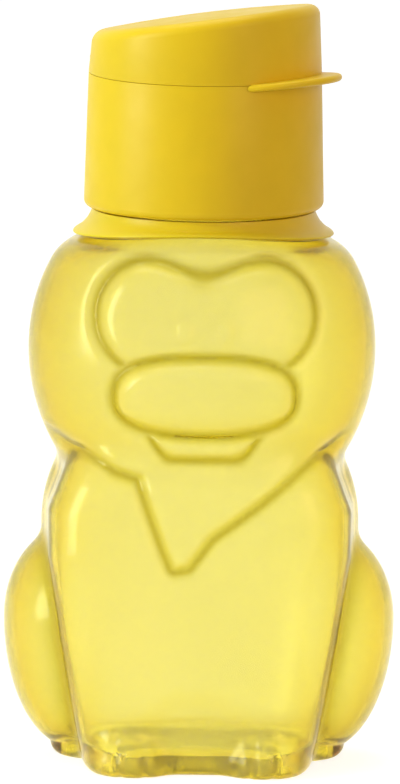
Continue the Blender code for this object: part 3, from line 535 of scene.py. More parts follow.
def collar_edge(angles):
    """The radius and the height of the collar's edge, which dips from the front and the back to the sides."""
    aside = np.sin(angles) ** 2
    radius = CAP_FOOT_RADIUS + COLLAR_STANDOUT[0] + (COLLAR_STANDOUT[1] - COLLAR_STANDOUT[0]) * aside
    return radius, COLLAR_EDGE_Z[0] - (COLLAR_EDGE_Z[0] - COLLAR_EDGE_Z[1]) * aside


def split_height(angles):
    """The height at which the wall ends, and the neck and the collar begin."""
    return collar_edge(angles)[1] - NOTCH_HEIGHT / 2


def saddled(angles, heights, top):
    """Rings' heights, bent like the collar's edge: not at all up to the head's middle, and fully at the top."""
    over_head = np.clip((heights - HEAD_CENTRE[2]) / (top - HEAD_CENTRE[2]), 0.0, 1.0)
    return heights + (COLLAR_EDGE_Z[0] - COLLAR_EDGE_Z[1]) * over_head**2 * np.cos(angles) ** 2


def column_angles(sizes):
    """Angles round the body, closer together on the lion's face."""
    even = np.linspace(-math.pi, math.pi, sizes.columns + 1)
    return even - FACE_CROWDING * np.sin(even)


def body_rings(sizes):
    """The rings of the blown body's wall: from the foot up the outside to the notch, and down the inside."""
    lion = Lion(sizes)
    angles = column_angles(sizes)
    shoulder = COLLAR_EDGE_Z[1] - NOTCH_HEIGHT
    rises = BASE_ROUND * (1.0 - np.cos(BASE_STEPS * math.pi / 2))
    heights = np.append(rises[:-1], np.linspace(BASE_ROUND, shoulder, sizes.rows))[:, None]
    heights = saddled(angles, heights, shoulder)
    outer = lion.reach(angles, np.maximum(heights, BASE_ROUND)) - rounded_in(heights, BASE_ROUND)
    bore_top = COLLAR_EDGE_Z[1] - BORE_FLARE[1]
    levels = saddled(angles, np.linspace(bore_top, FLOOR_TOP, sizes.rows // 2)[:, None], bore_top)
    inner = lion.reach(angles, np.maximum(levels, BASE_ROUND), sizes.wall)
    inner = inner - rounded_in(levels - FLOOR_TOP, FLOOR_ROUND)
    edge, edge_z = collar_edge(angles)
    split = split_height(angles) - SPLIT_GAP
    path = [
        (outer[0] - BASE_ROUND / 4, 0.0),
        *zip(outer, heights),
        (edge - NOTCH_DEPTH, edge_z - NOTCH_HEIGHT * 0.75),
        (edge - NOTCH_DEPTH, split),
        (BORE_RADIUS, split),
        (BORE_RADIUS, edge_z - BORE_FLARE[0]),
        *zip(inner, levels),
        (inner[-1], 0.0),
    ]
    return rings(angles, [*path, path[0]])


def floor_rings(sizes):
    """The rings of the body's floor, from the dish under it to its top. The wall stands round it."""
    lion = Lion(sizes)
    angles = column_angles(sizes)
    reach = lion.reach(angles, np.full(angles.shape, BASE_ROUND))
    dish = reach - rounded_in(np.array(0.0), BASE_ROUND) - BASE_ROUND / 4 - FOOT_WIDTH
    edge = lion.reach(angles, np.full(angles.shape, FLOOR_TOP), sizes.wall) - FLOOR_ROUND - SPLIT_GAP
    path = (
        (0.0, DISH_HEIGHT),
        (dish * 0.3, DISH_HEIGHT * 0.97),
        (dish * 0.6, DISH_HEIGHT * 0.88),
        (dish - 1.4 * DISH_HEIGHT, DISH_HEIGHT * 0.62),
        (dish - 0.4 * DISH_HEIGHT, DISH_HEIGHT * 0.18),
        (dish + 0.3 * DISH_HEIGHT, 0.0),
        (edge, 0.0),
        (edge, FLOOR_TOP),
        (edge * 0.66, FLOOR_TOP),
        (edge * 0.33, FLOOR_TOP),
        (0.0, FLOOR_TOP),
    )
    return rings(angles, path)


def neck_rings(sizes):
    """The rings of the neck, up the outside, over the lip and down the bore."""
    angles = column_angles(sizes)
    split = split_height(angles)
    bevel = LIP_CHAMFER * 0.3
    path = (
        (BORE_RADIUS, split),
        (NECK_RADIUS, split),
        (NECK_RADIUS, LIP_Z - LIP_CHAMFER),
        (NECK_RADIUS - bevel, LIP_Z - bevel),
        (NECK_RADIUS - LIP_CHAMFER, LIP_Z),
        (BORE_RADIUS + LIP_CHAMFER, LIP_Z),
        (BORE_RADIUS + bevel, LIP_Z - bevel),
        (BORE_RADIUS, LIP_Z - LIP_CHAMFER),
        (BORE_RADIUS, split),
    )
    return rings(angles, path)


def collar_rings(sizes):
    """The rings of the collar round the neck's foot: the notch's root, the thin edge, the waist and the top."""
    angles = column_angles(sizes)
    edge, edge_z = collar_edge(angles)
    split = split_height(angles)
    root = edge - NOTCH_DEPTH
    inner = NECK_RADIUS + SPLIT_GAP
    top = (CAP_INNER + CAP_FOOT_RADIUS - CAP_FOOT_ROUND) / 2
    waist = top + (edge - top) * COLLAR_WAIST[0]
    waist_z = COLLAR_TOP + (edge_z - COLLAR_TOP) * COLLAR_WAIST[1]
    path = (
        (inner, split),
        (root, split),
        (root, edge_z - NOTCH_HEIGHT * 0.2),
        (root + NOTCH_DEPTH * 0.1, edge_z),
        (edge - COLLAR_EDGE * 0.6, edge_z),
        (edge - COLLAR_EDGE * 0.2, edge_z + COLLAR_EDGE * 0.1),
        (edge, edge_z + COLLAR_EDGE * 0.35),
        (edge - COLLAR_EDGE * 0.1, edge_z + COLLAR_EDGE * 0.75),
        (edge - COLLAR_EDGE * 0.4, edge_z + COLLAR_EDGE * 1.1),
        ((edge + waist) / 2 - COLLAR_EDGE * 0.3, (edge_z + waist_z) / 2),
        (waist, waist_z),
        ((waist + top) / 2 - COLLAR_EDGE * 0.2, (waist_z + COLLAR_TOP) / 2),
        (top, COLLAR_TOP),
        (inner, COLLAR_TOP),
        (inner, split),
    )
    return rings(angles, path)


# ---------------------------------------------------------------- modelling


def deselect():
    """Nothing is selected, so that the next primitive is alone."""
    bpy.ops.object.select_all(action="DESELECT")


def choose(obj):
    """Makes one object the selected and active one."""
    deselect()
    obj.select_set(True)
    bpy.context.view_layer.objects.active = obj


def weld():
    """Merges the points of the active object that are on one place, and turns its faces outwards."""
    bpy.ops.object.mode_set(mode="EDIT")
    bpy.ops.mesh.select_all(action="SELECT")
    bpy.ops.mesh.remove_doubles(threshold=CLOSE)
    bpy.ops.mesh.normals_make_consistent(inside=False)
    bpy.ops.object.mode_set(mode="OBJECT")


def wrapped(name, points):
    """A grid whose rows are laid on rings of points. Its seam is merged, and so is a ring on one point."""
    rows, columns = points.shape[:2]
    deselect()
    bpy.ops.mesh.primitive_grid_add(x_subdivisions=columns - 1, y_subdivisions=rows - 1, size=1.0)
    obj = bpy.context.object
    obj.name = name
    obj.data.vertices.foreach_set("co", points.reshape(-1))
    obj.data.update()
    weld()
    return obj


def turned(name, profile, sides, at=(0.0, 0.0)):
    """Turns a half section of (radius, height) points: a circle is extruded from each point to the next.

    It starts and ends on the axis, or else closes on itself.
    """
    deselect()
    on_axis = profile[0][0] == 0.0
    path = profile[1:] if on_axis else [*profile, profile[0]]
    radius, height = path[0]
    bpy.ops.mesh.primitive_circle_add(
        vertices=sides, radius=radius, fill_type="TRIFAN" if on_axis else "NOTHING", location=(*at, height)
    )
    obj = bpy.context.object
    obj.name = name
    if on_axis:
        hub = min(obj.data.vertices, key=lambda vert: vert.co.xy.length)
        hub.co.z = profile[0][1] - height
    bpy.ops.object.mode_set(mode="EDIT")
    bpy.ops.mesh.select_mode(type="EDGE")
    bpy.ops.mesh.select_all(action="SELECT")
    if on_axis:
        bpy.ops.mesh.region_to_loop()
    for new_radius, new_height in path[1:]:
        bpy.ops.mesh.extrude_region_move(TRANSFORM_OT_translate={"value": (0.0, 0.0, new_height - height)})
        if new_radius == 0.0:
            bpy.ops.mesh.merge(type="CENTER")
        else:
            share = new_radius / radius
            bpy.ops.transform.resize(value=(share, share, 1.0), center_override=(*at, new_height))
        radius, height = new_radius, new_height
    weld()
    bpy.ops.object.transform_apply(location=True, rotation=True, scale=True)
    return obj


def prism(name, outline, half_width, edge_round=0.0):
    """Extrudes an outline of (x, z) points along Y, centred on Y = 0, with its rims rounded."""
    deselect()
    bpy.ops.mesh.primitive_circle_add(vertices=len(outline), radius=MM, fill_type="NGON")
    obj = bpy.context.object
    obj.name = name
    for vert, (x, z) in zip(obj.data.vertices, outline):
        vert.co = (x, -half_width, z)
    bpy.ops.object.mode_set(mode="EDIT")
    bpy.ops.mesh.select_mode(type="FACE")
    bpy.ops.mesh.select_all(action="SELECT")
    bpy.ops.mesh.extrude_region_move(TRANSFORM_OT_translate={"value": (0.0, 2 * half_width, 0.0)})
    bpy.ops.mesh.select_all(action="SELECT")
    bpy.ops.mesh.normals_make_consistent(inside=False)
    bpy.ops.object.mode_set(mode="OBJECT")
    if edge_round:
        rims = obj.modifiers.new("rims", "BEVEL")
        rims.width = edge_round
        rims.segments = 3
        rims.angle_limit = math.radians(60)
        bpy.ops.object.modifier_apply(modifier=rims.name)
    return obj


def rod(name, radius, half_width, edge_round=0.0):
    """A round rod along Y on the hinge's axis."""
    turns = np.linspace(0.0, 2 * math.pi, ROD_SIDES, endpoint=False)
    outline = [(HINGE_X + radius * math.cos(t), HINGE_Z + radius * math.sin(t)) for t in turns]
    return prism(name, outline, half_width, edge_round)


def keyhole(name, radius, back, front, foot_z, half_width, edge_round=0.0):
    """A rod on the hinge's axis with a foot down, or up, to foot_z, which spans -back to front in X."""
    side = -1 if foot_z > 0 else 1
    turns = np.linspace(-math.acos(front / radius), math.pi + math.acos(back / radius), ROD_SIDES)
    outline = [(HINGE_X + radius * math.cos(t), HINGE_Z + radius * math.sin(t) * side) for t in turns]
    outline += [(HINGE_X - back, HINGE_Z + foot_z), (HINGE_X + front, HINGE_Z + foot_z)]
    return prism(name, outline, half_width, edge_round)


def combine(obj, operation, other):
    """Joins another shape on, or cuts it out, and deletes it."""
    step = obj.modifiers.new(other.name, "BOOLEAN")
    step.operation = operation
    step.object = other
    step.solver = "EXACT"
    choose(obj)
    bpy.ops.object.modifier_apply(modifier=step.name)
    bpy.data.objects.remove(other, do_unlink=True)


def finished(obj, body, finish_name, nodes=(), angle=SMOOTH_ANGLE, turn=0.0):
    """Turns a piece to its place, shades it, gives it its plastic and says what it is."""
    choose(obj)
    obj.rotation_euler.z = turn
    bpy.ops.object.transform_apply(location=True, rotation=True, scale=True)
    weld()
    bpy.ops.object.shade_smooth_by_angle(angle=angle)
    obj.data.materials.clear()
    obj.data.materials.append(finish(finish_name))
    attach(obj, body)
    if nodes:
        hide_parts(*nodes)


def arc(centre, radius, start, end, steps):
    """Points of an arc of a half section. Angles are in degrees from outwards up."""
    angles = np.radians(np.linspace(start, end, steps + 1))
    return [(centre[0] + radius * math.cos(a), centre[1] + radius * math.sin(a)) for a in angles]


# ---------------------------------------------------------------- finishes


def feed(tree, value, socket):
    """Sets a socket to a number or a colour, or links another node's output to it."""
    if isinstance(value, bpy.types.NodeSocket):
        tree.links.new(value, socket)
    else:
        socket.default_value = (*value, 1.0) if socket.type == "RGBA" else value


def shader_group(name, inputs, outputs):
    """An empty node group that takes and gives named numbers."""
    group = bpy.data.node_groups.new(name, "ShaderNodeTree")
    for label, value in inputs.items():
        group.interface.new_socket(label, in_out="INPUT", socket_type="NodeSocketFloat").default_value = value
    for label in outputs:
        group.interface.new_socket(label, in_out="OUTPUT", socket_type="NodeSocketFloat")
    return group, group.nodes.new("NodeGroupInput").outputs, group.nodes.new("NodeGroupOutput").inputs


def use(tree, name, make, **values):
    """What a group's node gives. The group is made when it is first asked for."""
    node = tree.nodes.new("ShaderNodeGroup")
    node.node_tree = bpy.data.node_groups.get(name) or make()
    for label, value in values.items():
        node.inputs[label.replace("_", " ")].default_value = value
    return node.outputs


def noise(tree, scale, detail, distortion=0.0):
    """A noise texture in object coordinates."""
    node = tree.nodes.new("ShaderNodeTexNoise")
    place = tree.nodes.new("ShaderNodeTexCoord").outputs["Object"]
    for label, value in (("Vector", place), ("Scale", scale), ("Detail", detail), ("Distortion", distortion)):
        feed(tree, value, node.inputs[label])
    return node.outputs["Fac"]


def spread(tree, *values):
    """Stretches a value from one range to another, and keeps it inside."""
    node = tree.nodes.new("ShaderNodeMapRange")
    for label, value in zip(("Value", "From Min", "From Max", "To Min", "To Max"), values):
        feed(tree, value, node.inputs[label])
    return node.outputs["Result"]


def calculated(tree, operation, *values, clamp=False):
    """A sum, a product or the like."""
    node = tree.nodes.new("ShaderNodeMath")
    node.operation = operation
    node.use_clamp = clamp
    for value, socket in zip(values, node.inputs):
        feed(tree, value, socket)
    return node.outputs["Value"]


def mixed(tree, share, first, second):
    """A mix of two colours."""
    node = tree.nodes.new("ShaderNodeMix")
    node.data_type = "RGBA"
    for label, value in (("Factor", share), ("A", first), ("B", second)):
        feed(tree, value, node.inputs[label])
    return node.outputs["Result"]


def moulded_grain():
    """The fine texture that a mould leaves, as a height, and the unevenness of its gloss, as a mask."""
    scales = {"Grain scale": MOULDED_GRAIN[0], "Ripple scale": MOULDED_GRAIN[1]}
    group, given, out = shader_group("Moulded grain", scales, ("Height", "Gloss mask"))
    ripple = noise(group, given["Ripple scale"], detail=2.0)
    height = calculated(group, "MULTIPLY_ADD", ripple, RIPPLE_SHARE, noise(group, given["Grain scale"], detail=3.0))
    feed(group, height, out["Height"])
    feed(group, spread(group, ripple, 0.3, 0.7, 0.0, 1.0), out["Gloss mask"])
    return group


def handling_marks():
    """Smudges from hands and faint scuffs from washing, as a mask."""
    group, given, out = shader_group("Handling marks", {"Scale": 45.0, "Amount": 1.0}, ("Mask",))
    smudge = noise(group, given["Scale"], detail=2.0, distortion=0.4)
    feed(group, spread(group, smudge, 0.4, 0.8, 0.0, given["Amount"]), out["Mask"])
    return group


def valley_shade_mask():
    """Where shade is painted into the blown plastic's colour: along the valleys. A mask."""
    group, given, out = shader_group("Depth of colour", {"Valley share": 1.0}, ("Mask",))
    valley = group.nodes.new("ShaderNodeAttribute")
    valley.attribute_name = "valley"
    feed(group, spread(group, valley.outputs["Fac"], 0.0, 1.0, 0.0, given["Valley share"]), out["Mask"])
    return group


def plastic(name, colour, darker, roughness, grain, smudge=0.5, **shader_values):
    """A moulded plastic: a colour and a share of it, gloss that varies, and a fine grain."""
    made = bpy.data.materials.new(name)
    made.use_nodes = True
    tree = made.node_tree
    shader = tree.nodes["Principled BSDF"].inputs
    surface = use(tree, "Moulded grain", moulded_grain, Grain_scale=grain[0], Ripple_scale=grain[1])
    marks = use(tree, "Handling marks", handling_marks, Amount=smudge)
    feed(tree, mixed(tree, surface["Gloss mask"], colour, Vector(colour) * darker), shader["Base Color"])
    gloss = spread(tree, surface["Gloss mask"], 0.0, 1.0, *roughness)
    feed(tree, calculated(tree, "MULTIPLY_ADD", marks["Mask"], SMUDGE_ROUGHNESS, gloss), shader["Roughness"])
    relief = tree.nodes.new("ShaderNodeBump")
    for label, value in (("Strength", 1.0), ("Distance", grain[2]), ("Height", surface["Height"])):
        feed(tree, value, relief.inputs[label])
    feed(tree, relief.outputs["Normal"], shader["Normal"])
    for label, value in shader_values.items():
        feed(tree, value, shader[label.replace("_", " ")])
    return made


def deepen(tree, body):
    """Paints shade into the wall's colour at a slant and in the valleys, and lets the plastic take up light inside."""
    base = tree.nodes["Principled BSDF"].inputs["Base Color"]
    # Painted shade towards the silhouette: the more the surface is seen at a slant, the more its colour turns to the
    # shade painted at a slant
    slant = calculated(tree, "POWER", tree.nodes.new("ShaderNodeLayerWeight").outputs["Facing"], SLANT_POWER)
    slant_shaded = mixed(tree, slant, base.links[0].from_socket, body.slant_shade_tint)
    # Painted shade along the valleys and the crease beside the panel
    valleys = use(tree, "Depth of colour", valley_shade_mask)["Mask"]
    feed(tree, mixed(tree, valleys, slant_shaded, body.valley_shade_tint), base)
    depth = tree.nodes.new("ShaderNodeVolumeAbsorption")
    feed(tree, body.depth_tint, depth.inputs["Color"])
    feed(tree, DEPTH_DENSITY, depth.inputs["Density"])
    feed(tree, depth.outputs["Volume"], tree.nodes["Material Output"].inputs["Volume"])


def finish(name):
    """One of the bottle's plastics, made when it is first asked for."""
    if name in bpy.data.materials:
        return bpy.data.materials[name]
    body = bpy.context.scene.lion_bottle_body
    cap = bpy.context.scene.lion_bottle_cap
    if name == "Soft pale seal":
        return plastic(name, cap.seal_colour, 0.93, (0.5, 0.66), SOFT_GRAIN, smudge=0.3)
    if name == "Opaque yellow plastic":
        return plastic(
            name,
            cap.colour,
            darker=0.96,
            roughness=(0.34, 0.42),
            grain=MOULDED_GRAIN,
            Specular_IOR_Level=0.2,
            Subsurface_Weight=0.12,
            Subsurface_Scale=1.5 * MM,
            Subsurface_Radius=(1.0, 0.6, 0.1),
        )
    if name == "Thick yellow plastic":
        return plastic(
            name,
            body.thick_tint,
            darker=0.97,
            roughness=(0.29, 0.34),
            grain=BLOWN_GRAIN,
            Specular_IOR_Level=0.2,
            Transmission_Weight=body.thick_clearness,
            Subsurface_Weight=0.3,
            Subsurface_Scale=3.0 * MM,
            Subsurface_Radius=(1.0, 0.8, 0.1),
        )
    is_wall = name == "Clear yellow plastic"
    made = plastic(
        name,
        body.tint if is_wall else body.floor_tint,
        darker=0.98,
        roughness=(0.14, 0.18),
        grain=BLOWN_GRAIN,
        IOR=1.25,
        Transmission_Weight=body.clearness if is_wall else body.floor_clearness,
        Subsurface_Weight=1.0,
        Subsurface_Scale=6.0 * MM,
        Subsurface_Radius=(1.0, 0.95, 0.25),
        Specular_IOR_Level=0.3,
        Coat_Weight=1.0,
        Coat_IOR=1.12,
        Coat_Roughness=0.16,
        Coat_Tint=body.edge_tint,
    )
    if is_wall:
        deepen(made.node_tree, body)
    return made


# ---------------------------------------------------------------- pieces


def mark_valley_shade(body, sizes):
    """Stores at each point how deep in a valley it lies, as the mask for the shade painted into the plastic's colour.
    """
    points = np.empty(len(body.data.vertices) * 3)
    body.data.vertices.foreach_get("co", points)
    x, y, z = points.reshape(-1, 3).T
    depth = Lion(sizes).valley(x, y, z)
    body.data.attributes.new("valley", "FLOAT", "POINT").data.foreach_set("value", depth)


class LION_BOTTLE_OT_body(bpy.types.Operator):
    """Models the blown body's wall, and its floor, collar and neck, where the plastic is thick"""

    bl_idname = "lion_bottle.body"
    bl_label = "Blown body"

    def execute(self, context):
        sizes = context.scene.lion_bottle_body
        wall = wrapped("lion_body", body_rings(sizes))
        # The mask for the shade painted into the valleys and along the crease
        mark_valley_shade(wall, sizes)
        finished(wall, "bottle", "Clear yellow plastic", ["bottle_body"], BODY_SMOOTH_ANGLE)
        for name, points, finish_name in (
            ("body_floor", floor_rings, "Clear yellow floor"),
            ("neck", neck_rings, "Clear yellow floor"),
            ("collar", collar_rings, "Thick yellow plastic"),
        ):
            piece = wrapped(name, points(sizes))
            finished(piece, "bottle", finish_name, ["bottle_body"])
        return {"FINISHED"}


def thread_ridge(name, radius, height, side, start_z, turns):
    """One start of a thread: a ridge that climbs round the axis and thins out at its ends. Side 1 is outwards."""
    along = np.linspace(0.0, 1.0, int(THREAD_STEPS * turns) + 1)
    swell = np.sqrt(smooth_step(0.0, THREAD_END, along) * smooth_step(0.0, THREAD_END, 1.0 - along))
    section = (
        (-THREAD_SINK, THREAD_ROOT),
        (height * 0.85, THREAD_CREST),
        (height, THREAD_CREST * 0.6),
        (height, -THREAD_CREST * 0.6),
        (height * 0.85, -THREAD_CREST),
        (-THREAD_SINK, -THREAD_ROOT),
        (-THREAD_SINK, THREAD_ROOT),
    )
    rows = []
    for angle, z, share in zip(along * turns * 2 * math.pi, start_z + along * turns * THREAD_LEAD, swell):
        out = [(radius + side * u * share, z + v * share) for u, v in section]
        rows.append([(r * math.sin(angle), -r * math.cos(angle), v) for r, v in out])
    return wrapped(name, np.array(rows))


def two_start_thread(*ridge_values):
    """Two equal ridges, half a turn apart."""
    ridge = thread_ridge(*ridge_values)
    choose(ridge)
    bpy.ops.object.duplicate()
    other = bpy.context.object
    other.rotation_euler.z = math.pi
    bpy.ops.object.transform_apply(rotation=True)
    ridge.select_set(True)
    bpy.context.view_layer.objects.active = ridge
    bpy.ops.object.join()
    return ridge


class LION_BOTTLE_OT_threads(bpy.types.Operator):
    """Winds the ridges of the two-start thread, on the neck and inside the cap"""

    bl_idname = "lion_bottle.threads"
    bl_label = "Thread"

    def execute(self, context):
        height = context.scene.lion_bottle_cap.thread_height
        on_neck = two_start_thread("neck_thread", NECK_RADIUS, height, 1.0, NECK_THREAD_Z, NECK_THREAD_TURNS)
        finished(on_neck, "bottle", "Clear yellow plastic")
        in_cap = two_start_thread("cap_thread", CAP_INNER, height, -1.0, CAP_THREAD_Z, CAP_THREAD_TURNS)
        finished(in_cap, "cap", "Opaque yellow plastic")
        return {"FINISHED"}


def cap_section():
    """Half section of the cap: centring ring, thread wall, rounded foot, outer wall, rim and deck."""
    ring_inner = CENTRING_RING_RADIUS - CENTRING_RING_WALL
    ring_top = SEAM_Z + LID_RING_HEIGHT
    lid_ring_inner = LID_RING_RADIUS - LID_RING_WALL
    section = [
        (0.0, DECK_UNDER),
        (ring_inner, DECK_UNDER),
        (ring_inner, CENTRING_RING_FOOT + CAP_EDGE),
        (ring_inner + CAP_EDGE, CENTRING_RING_FOOT),
        (CENTRING_RING_RADIUS - 2 * CAP_EDGE, CENTRING_RING_FOOT),
        (CENTRING_RING_RADIUS, CENTRING_RING_FOOT + 2 * CAP_EDGE),
        (CENTRING_RING_RADIUS, DECK_UNDER),
        (CAP_INNER, DECK_UNDER),
        (CAP_INNER, CAP_FOOT_Z + CAP_EDGE),
        (CAP_INNER + CAP_EDGE, CAP_FOOT_Z),
    ]
    section += arc((CAP_FOOT_RADIUS - CAP_FOOT_ROUND, CAP_FOOT_Z + CAP_FOOT_ROUND), CAP_FOOT_ROUND, -90.0, 0.0, 8)
    section += arc((SEAM_RADIUS - SEAM_EDGE, SEAM_Z - SEAM_EDGE), SEAM_EDGE, 0.0, 90.0, 3)
    section += [
        (LID_RING_RADIUS, SEAM_Z),
        (LID_RING_RADIUS, ring_top - CAP_EDGE),
        (LID_RING_RADIUS - CAP_EDGE, ring_top),
        (lid_ring_inner + CAP_EDGE, ring_top),
        (lid_ring_inner, ring_top - CAP_EDGE),
        (lid_ring_inner, DECK_TOP + CAP_EDGE),
        (lid_ring_inner - CAP_EDGE, DECK_TOP),
        (0.0, DECK_TOP),
    ]
    return section


def spout_section():
    """Half section of the spout's outside, hollowed at its foot and rounded at its rim."""
    section = [(0.0, DECK_TOP - MM), (SPOUT_FOOT_RADIUS, DECK_TOP - MM), (SPOUT_FOOT_RADIUS, DECK_TOP)]
    for share in (0.15, 0.4, 0.7, 1.0):
        radius = SPOUT_WAIST_RADIUS + (SPOUT_FOOT_RADIUS - SPOUT_WAIST_RADIUS) * (1.0 - share) ** 2
        section.append((radius, DECK_TOP + SPOUT_FOOT_HEIGHT * share))
    section += arc((SPOUT_RIM_RADIUS - SPOUT_RIM_ROUND, SPOUT_RIM_Z - SPOUT_RIM_ROUND), SPOUT_RIM_ROUND, 0, 90, 6)
    section.append((0.0, SPOUT_RIM_Z))
    return section


class LION_BOTTLE_OT_cap(bpy.types.Operator):
    """Models the screw cap with its spout, its air hole and the ears of the hinge"""

    bl_idname = "lion_bottle.cap"
    bl_label = "Screw cap"

    def execute(self, context):
        sides = context.scene.lion_bottle_cap.sides
        cap = turned("screw_cap", cap_section(), sides)
        combine(cap, "UNION", turned("spout", spout_section(), sides // 2, (SPOUT_OFFSET, 0.0)))
        ears = keyhole("ears", KNUCKLE_RADIUS, EAR_BACK, KNUCKLE_RADIUS, -EAR_DROP, EAR_OUTER, GAP)
        low, high = SEAM_Z - LID_HEIGHT, SEAM_Z + LID_HEIGHT
        room = [(0.0, low), (EAR_REACH, low), (EAR_REACH, high), (0.0, high)]
        combine(ears, "INTERSECT", turned("ear_round", room, sides))
        combine(cap, "UNION", ears)
        channel = keyhole("channel", HINGE_FREE, HINGE_FREE, HINGE_FREE, 2 * HINGE_FREE, EAR_INNER)
        combine(cap, "DIFFERENCE", channel)
        combine(cap, "DIFFERENCE", rod("pin_hole", PIN_HOLE, EAR_OUTER + GAP))
        low, high = DECK_UNDER - GAP, SPOUT_RIM_Z + GAP / 10
        bore = [(0.0, low), (SPOUT_BORE, low), (SPOUT_BORE, SPOUT_RIM_Z - SPOUT_BORE_EDGE)]
        bore += [(SPOUT_BORE + SPOUT_BORE_EDGE, high), (0.0, high)]
        combine(cap, "DIFFERENCE", turned("bore", bore, sides // 2, (SPOUT_OFFSET, 0.0)))
        vent = [(0.0, low), (VENT_RADIUS, low), (VENT_RADIUS, DECK_TOP + GAP), (0.0, DECK_TOP + GAP)]
        combine(cap, "DIFFERENCE", turned("vent", vent, VENT_SIDES, VENT_PLACE))
        finished(cap, "cap", "Opaque yellow plastic", ["cap_base"], turn=CAP_TURN)
        return {"FINISHED"}


def lid_section(radius, height, edge_round, steps):
    """Half section of one side of the lid before its top slopes: foot, wall, rounded edge and dome."""
    wall_height = height - LID_DOME - edge_round
    corner = radius - wall_height * math.tan(LID_DRAFT) - edge_round
    section = arc((corner, LID_Z + wall_height), edge_round, 0.0, 90.0, steps)
    section += [(corner * share, LID_Z + height - LID_DOME * share**2) for share in (0.8, 0.6, 0.4, 0.2)]
    return section + [(0.0, LID_Z + height)]


def slope_top(obj):
    """Slopes a top by hand, because shear needs a window: higher towards the tab, level at the lid's foot."""
    wall_height = LID_HEIGHT - LID_DOME - LID_EDGE_ROUND
    for vert in obj.data.vertices:
        share = min((vert.co.z - LID_Z) / wall_height, 1.0)
        vert.co.z += vert.co.x * math.tan(LID_SLOPE) * share


def lid_shell(sides):
    """The lid's shell: outside, foot and inside as one skin, with its top then sloped."""
    outside = lid_section(SEAM_RADIUS, LID_HEIGHT, LID_EDGE_ROUND, 10)
    inside = lid_section(LID_INNER, LID_HEIGHT - LID_WALL, LID_EDGE_ROUND - LID_WALL / 2, 6)
    foot = arc((SEAM_RADIUS - SEAM_EDGE, LID_FOOT + SEAM_EDGE), SEAM_EDGE, 0.0, -90.0, 4)
    foot += [(LID_INNER + SEAM_EDGE, LID_FOOT), (LID_INNER, LID_FOOT + SEAM_EDGE)]
    shell = turned("flip_top", [*reversed(outside), *foot, *inside], sides)
    slope_top(shell)
    return shell


def tab(sides):
    """The thumb tab: a round plate with a rounded edge, tilted up to its tip and fitted to the lid's wall."""
    half = TAB_THICKNESS / 2
    section = [(0.0, 0.0)] + arc((TAB_RADIUS - half, half), half, -90.0, 90.0, 10) + [(0.0, TAB_THICKNESS)]
    plate = turned("tab", section, sides)
    plate.rotation_euler.y = -TAB_TILT
    plate.location = (TAB_CENTRE, 0.0, LID_Z - TAB_DROP)
    bpy.ops.object.transform_apply(location=True, rotation=True)
    step = LID_Z + GAP / 3
    low, high, inner = LID_Z - LID_HEIGHT, LID_Z + LID_HEIGHT, SEAM_RADIUS - LID_WALL / 2
    room = [(0.0, low), (SEAM_RADIUS + GAP, low), (SEAM_RADIUS + GAP, step), (inner, step), (inner, high), (0.0, high)]
    combine(plate, "DIFFERENCE", turned("room", room, sides))
    return plate


def boss(sides):
    """The boss that holds the seal's stem in a blind bore, and ends inside the lid's sloping top."""
    top = LID_Z + LID_HEIGHT - (LID_DOME + LID_WALL) / 2
    section = [
        (0.0, BOSS_BORE_END),
        (BOSS_BORE, BOSS_BORE_END),
        (BOSS_BORE, BOSS_Z + BOSS_EDGE),
        (BOSS_BORE + BOSS_EDGE, BOSS_Z),
        (BOSS_RADIUS - BOSS_EDGE, BOSS_Z),
        (BOSS_RADIUS, BOSS_Z + BOSS_EDGE),
        (BOSS_RADIUS, top),
        (0.0, top),
    ]
    made = turned("boss", section, sides, (SPOUT_OFFSET, 0.0))
    for vert in made.data.vertices:
        if vert.co.z > BOSS_BORE_END + CLOSE:
            vert.co.z += vert.co.x * math.tan(LID_SLOPE)
    return made


class LION_BOTTLE_OT_lid(bpy.types.Operator):
    """Models the flip lid with its thumb tab, its knuckle and the boss for the seal"""

    bl_idname = "lion_bottle.lid"
    bl_label = "Flip lid"

    def execute(self, context):
        sides = context.scene.lion_bottle_cap.sides
        lid = lid_shell(sides)
        combine(lid, "UNION", tab(sides))
        combine(lid, "UNION", boss(sides // 2))
        space = keyhole("ear_space", HINGE_FREE, HINGE_FREE, HINGE_FREE, -HINGE_FREE, EAR_OUTER + GAP)
        combine(lid, "DIFFERENCE", space)
        out, up = SWING_SPACE
        combine(lid, "DIFFERENCE", keyhole("swing_space", KNUCKLE_RADIUS, KNUCKLE_RADIUS, -out, up, EAR_OUTER))
        knuckle = keyhole("knuckle", KNUCKLE_RADIUS, *WEB_REACH, KNUCKLE_WEB, KNUCKLE_HALF, GAP / 2)
        combine(lid, "UNION", knuckle)
        combine(lid, "DIFFERENCE", rod("lid_pin_hole", PIN_HOLE, EAR_OUTER))
        finished(lid, "lid", "Opaque yellow plastic", ["flip_lid"], turn=CAP_TURN)
        return {"FINISHED"}


class LION_BOTTLE_OT_pin(bpy.types.Operator):
    """Models the hinge's pin with rounded ends"""

    bl_idname = "lion_bottle.pin"
    bl_label = "Hinge pin"

    def execute(self, context):
        pin = rod("pin", PIN_RADIUS, EAR_OUTER - GAP, PIN_RADIUS / 3)
        finished(pin, "cap", "Opaque yellow plastic", ["hinge_pin"], turn=CAP_TURN)
        return {"FINISHED"}


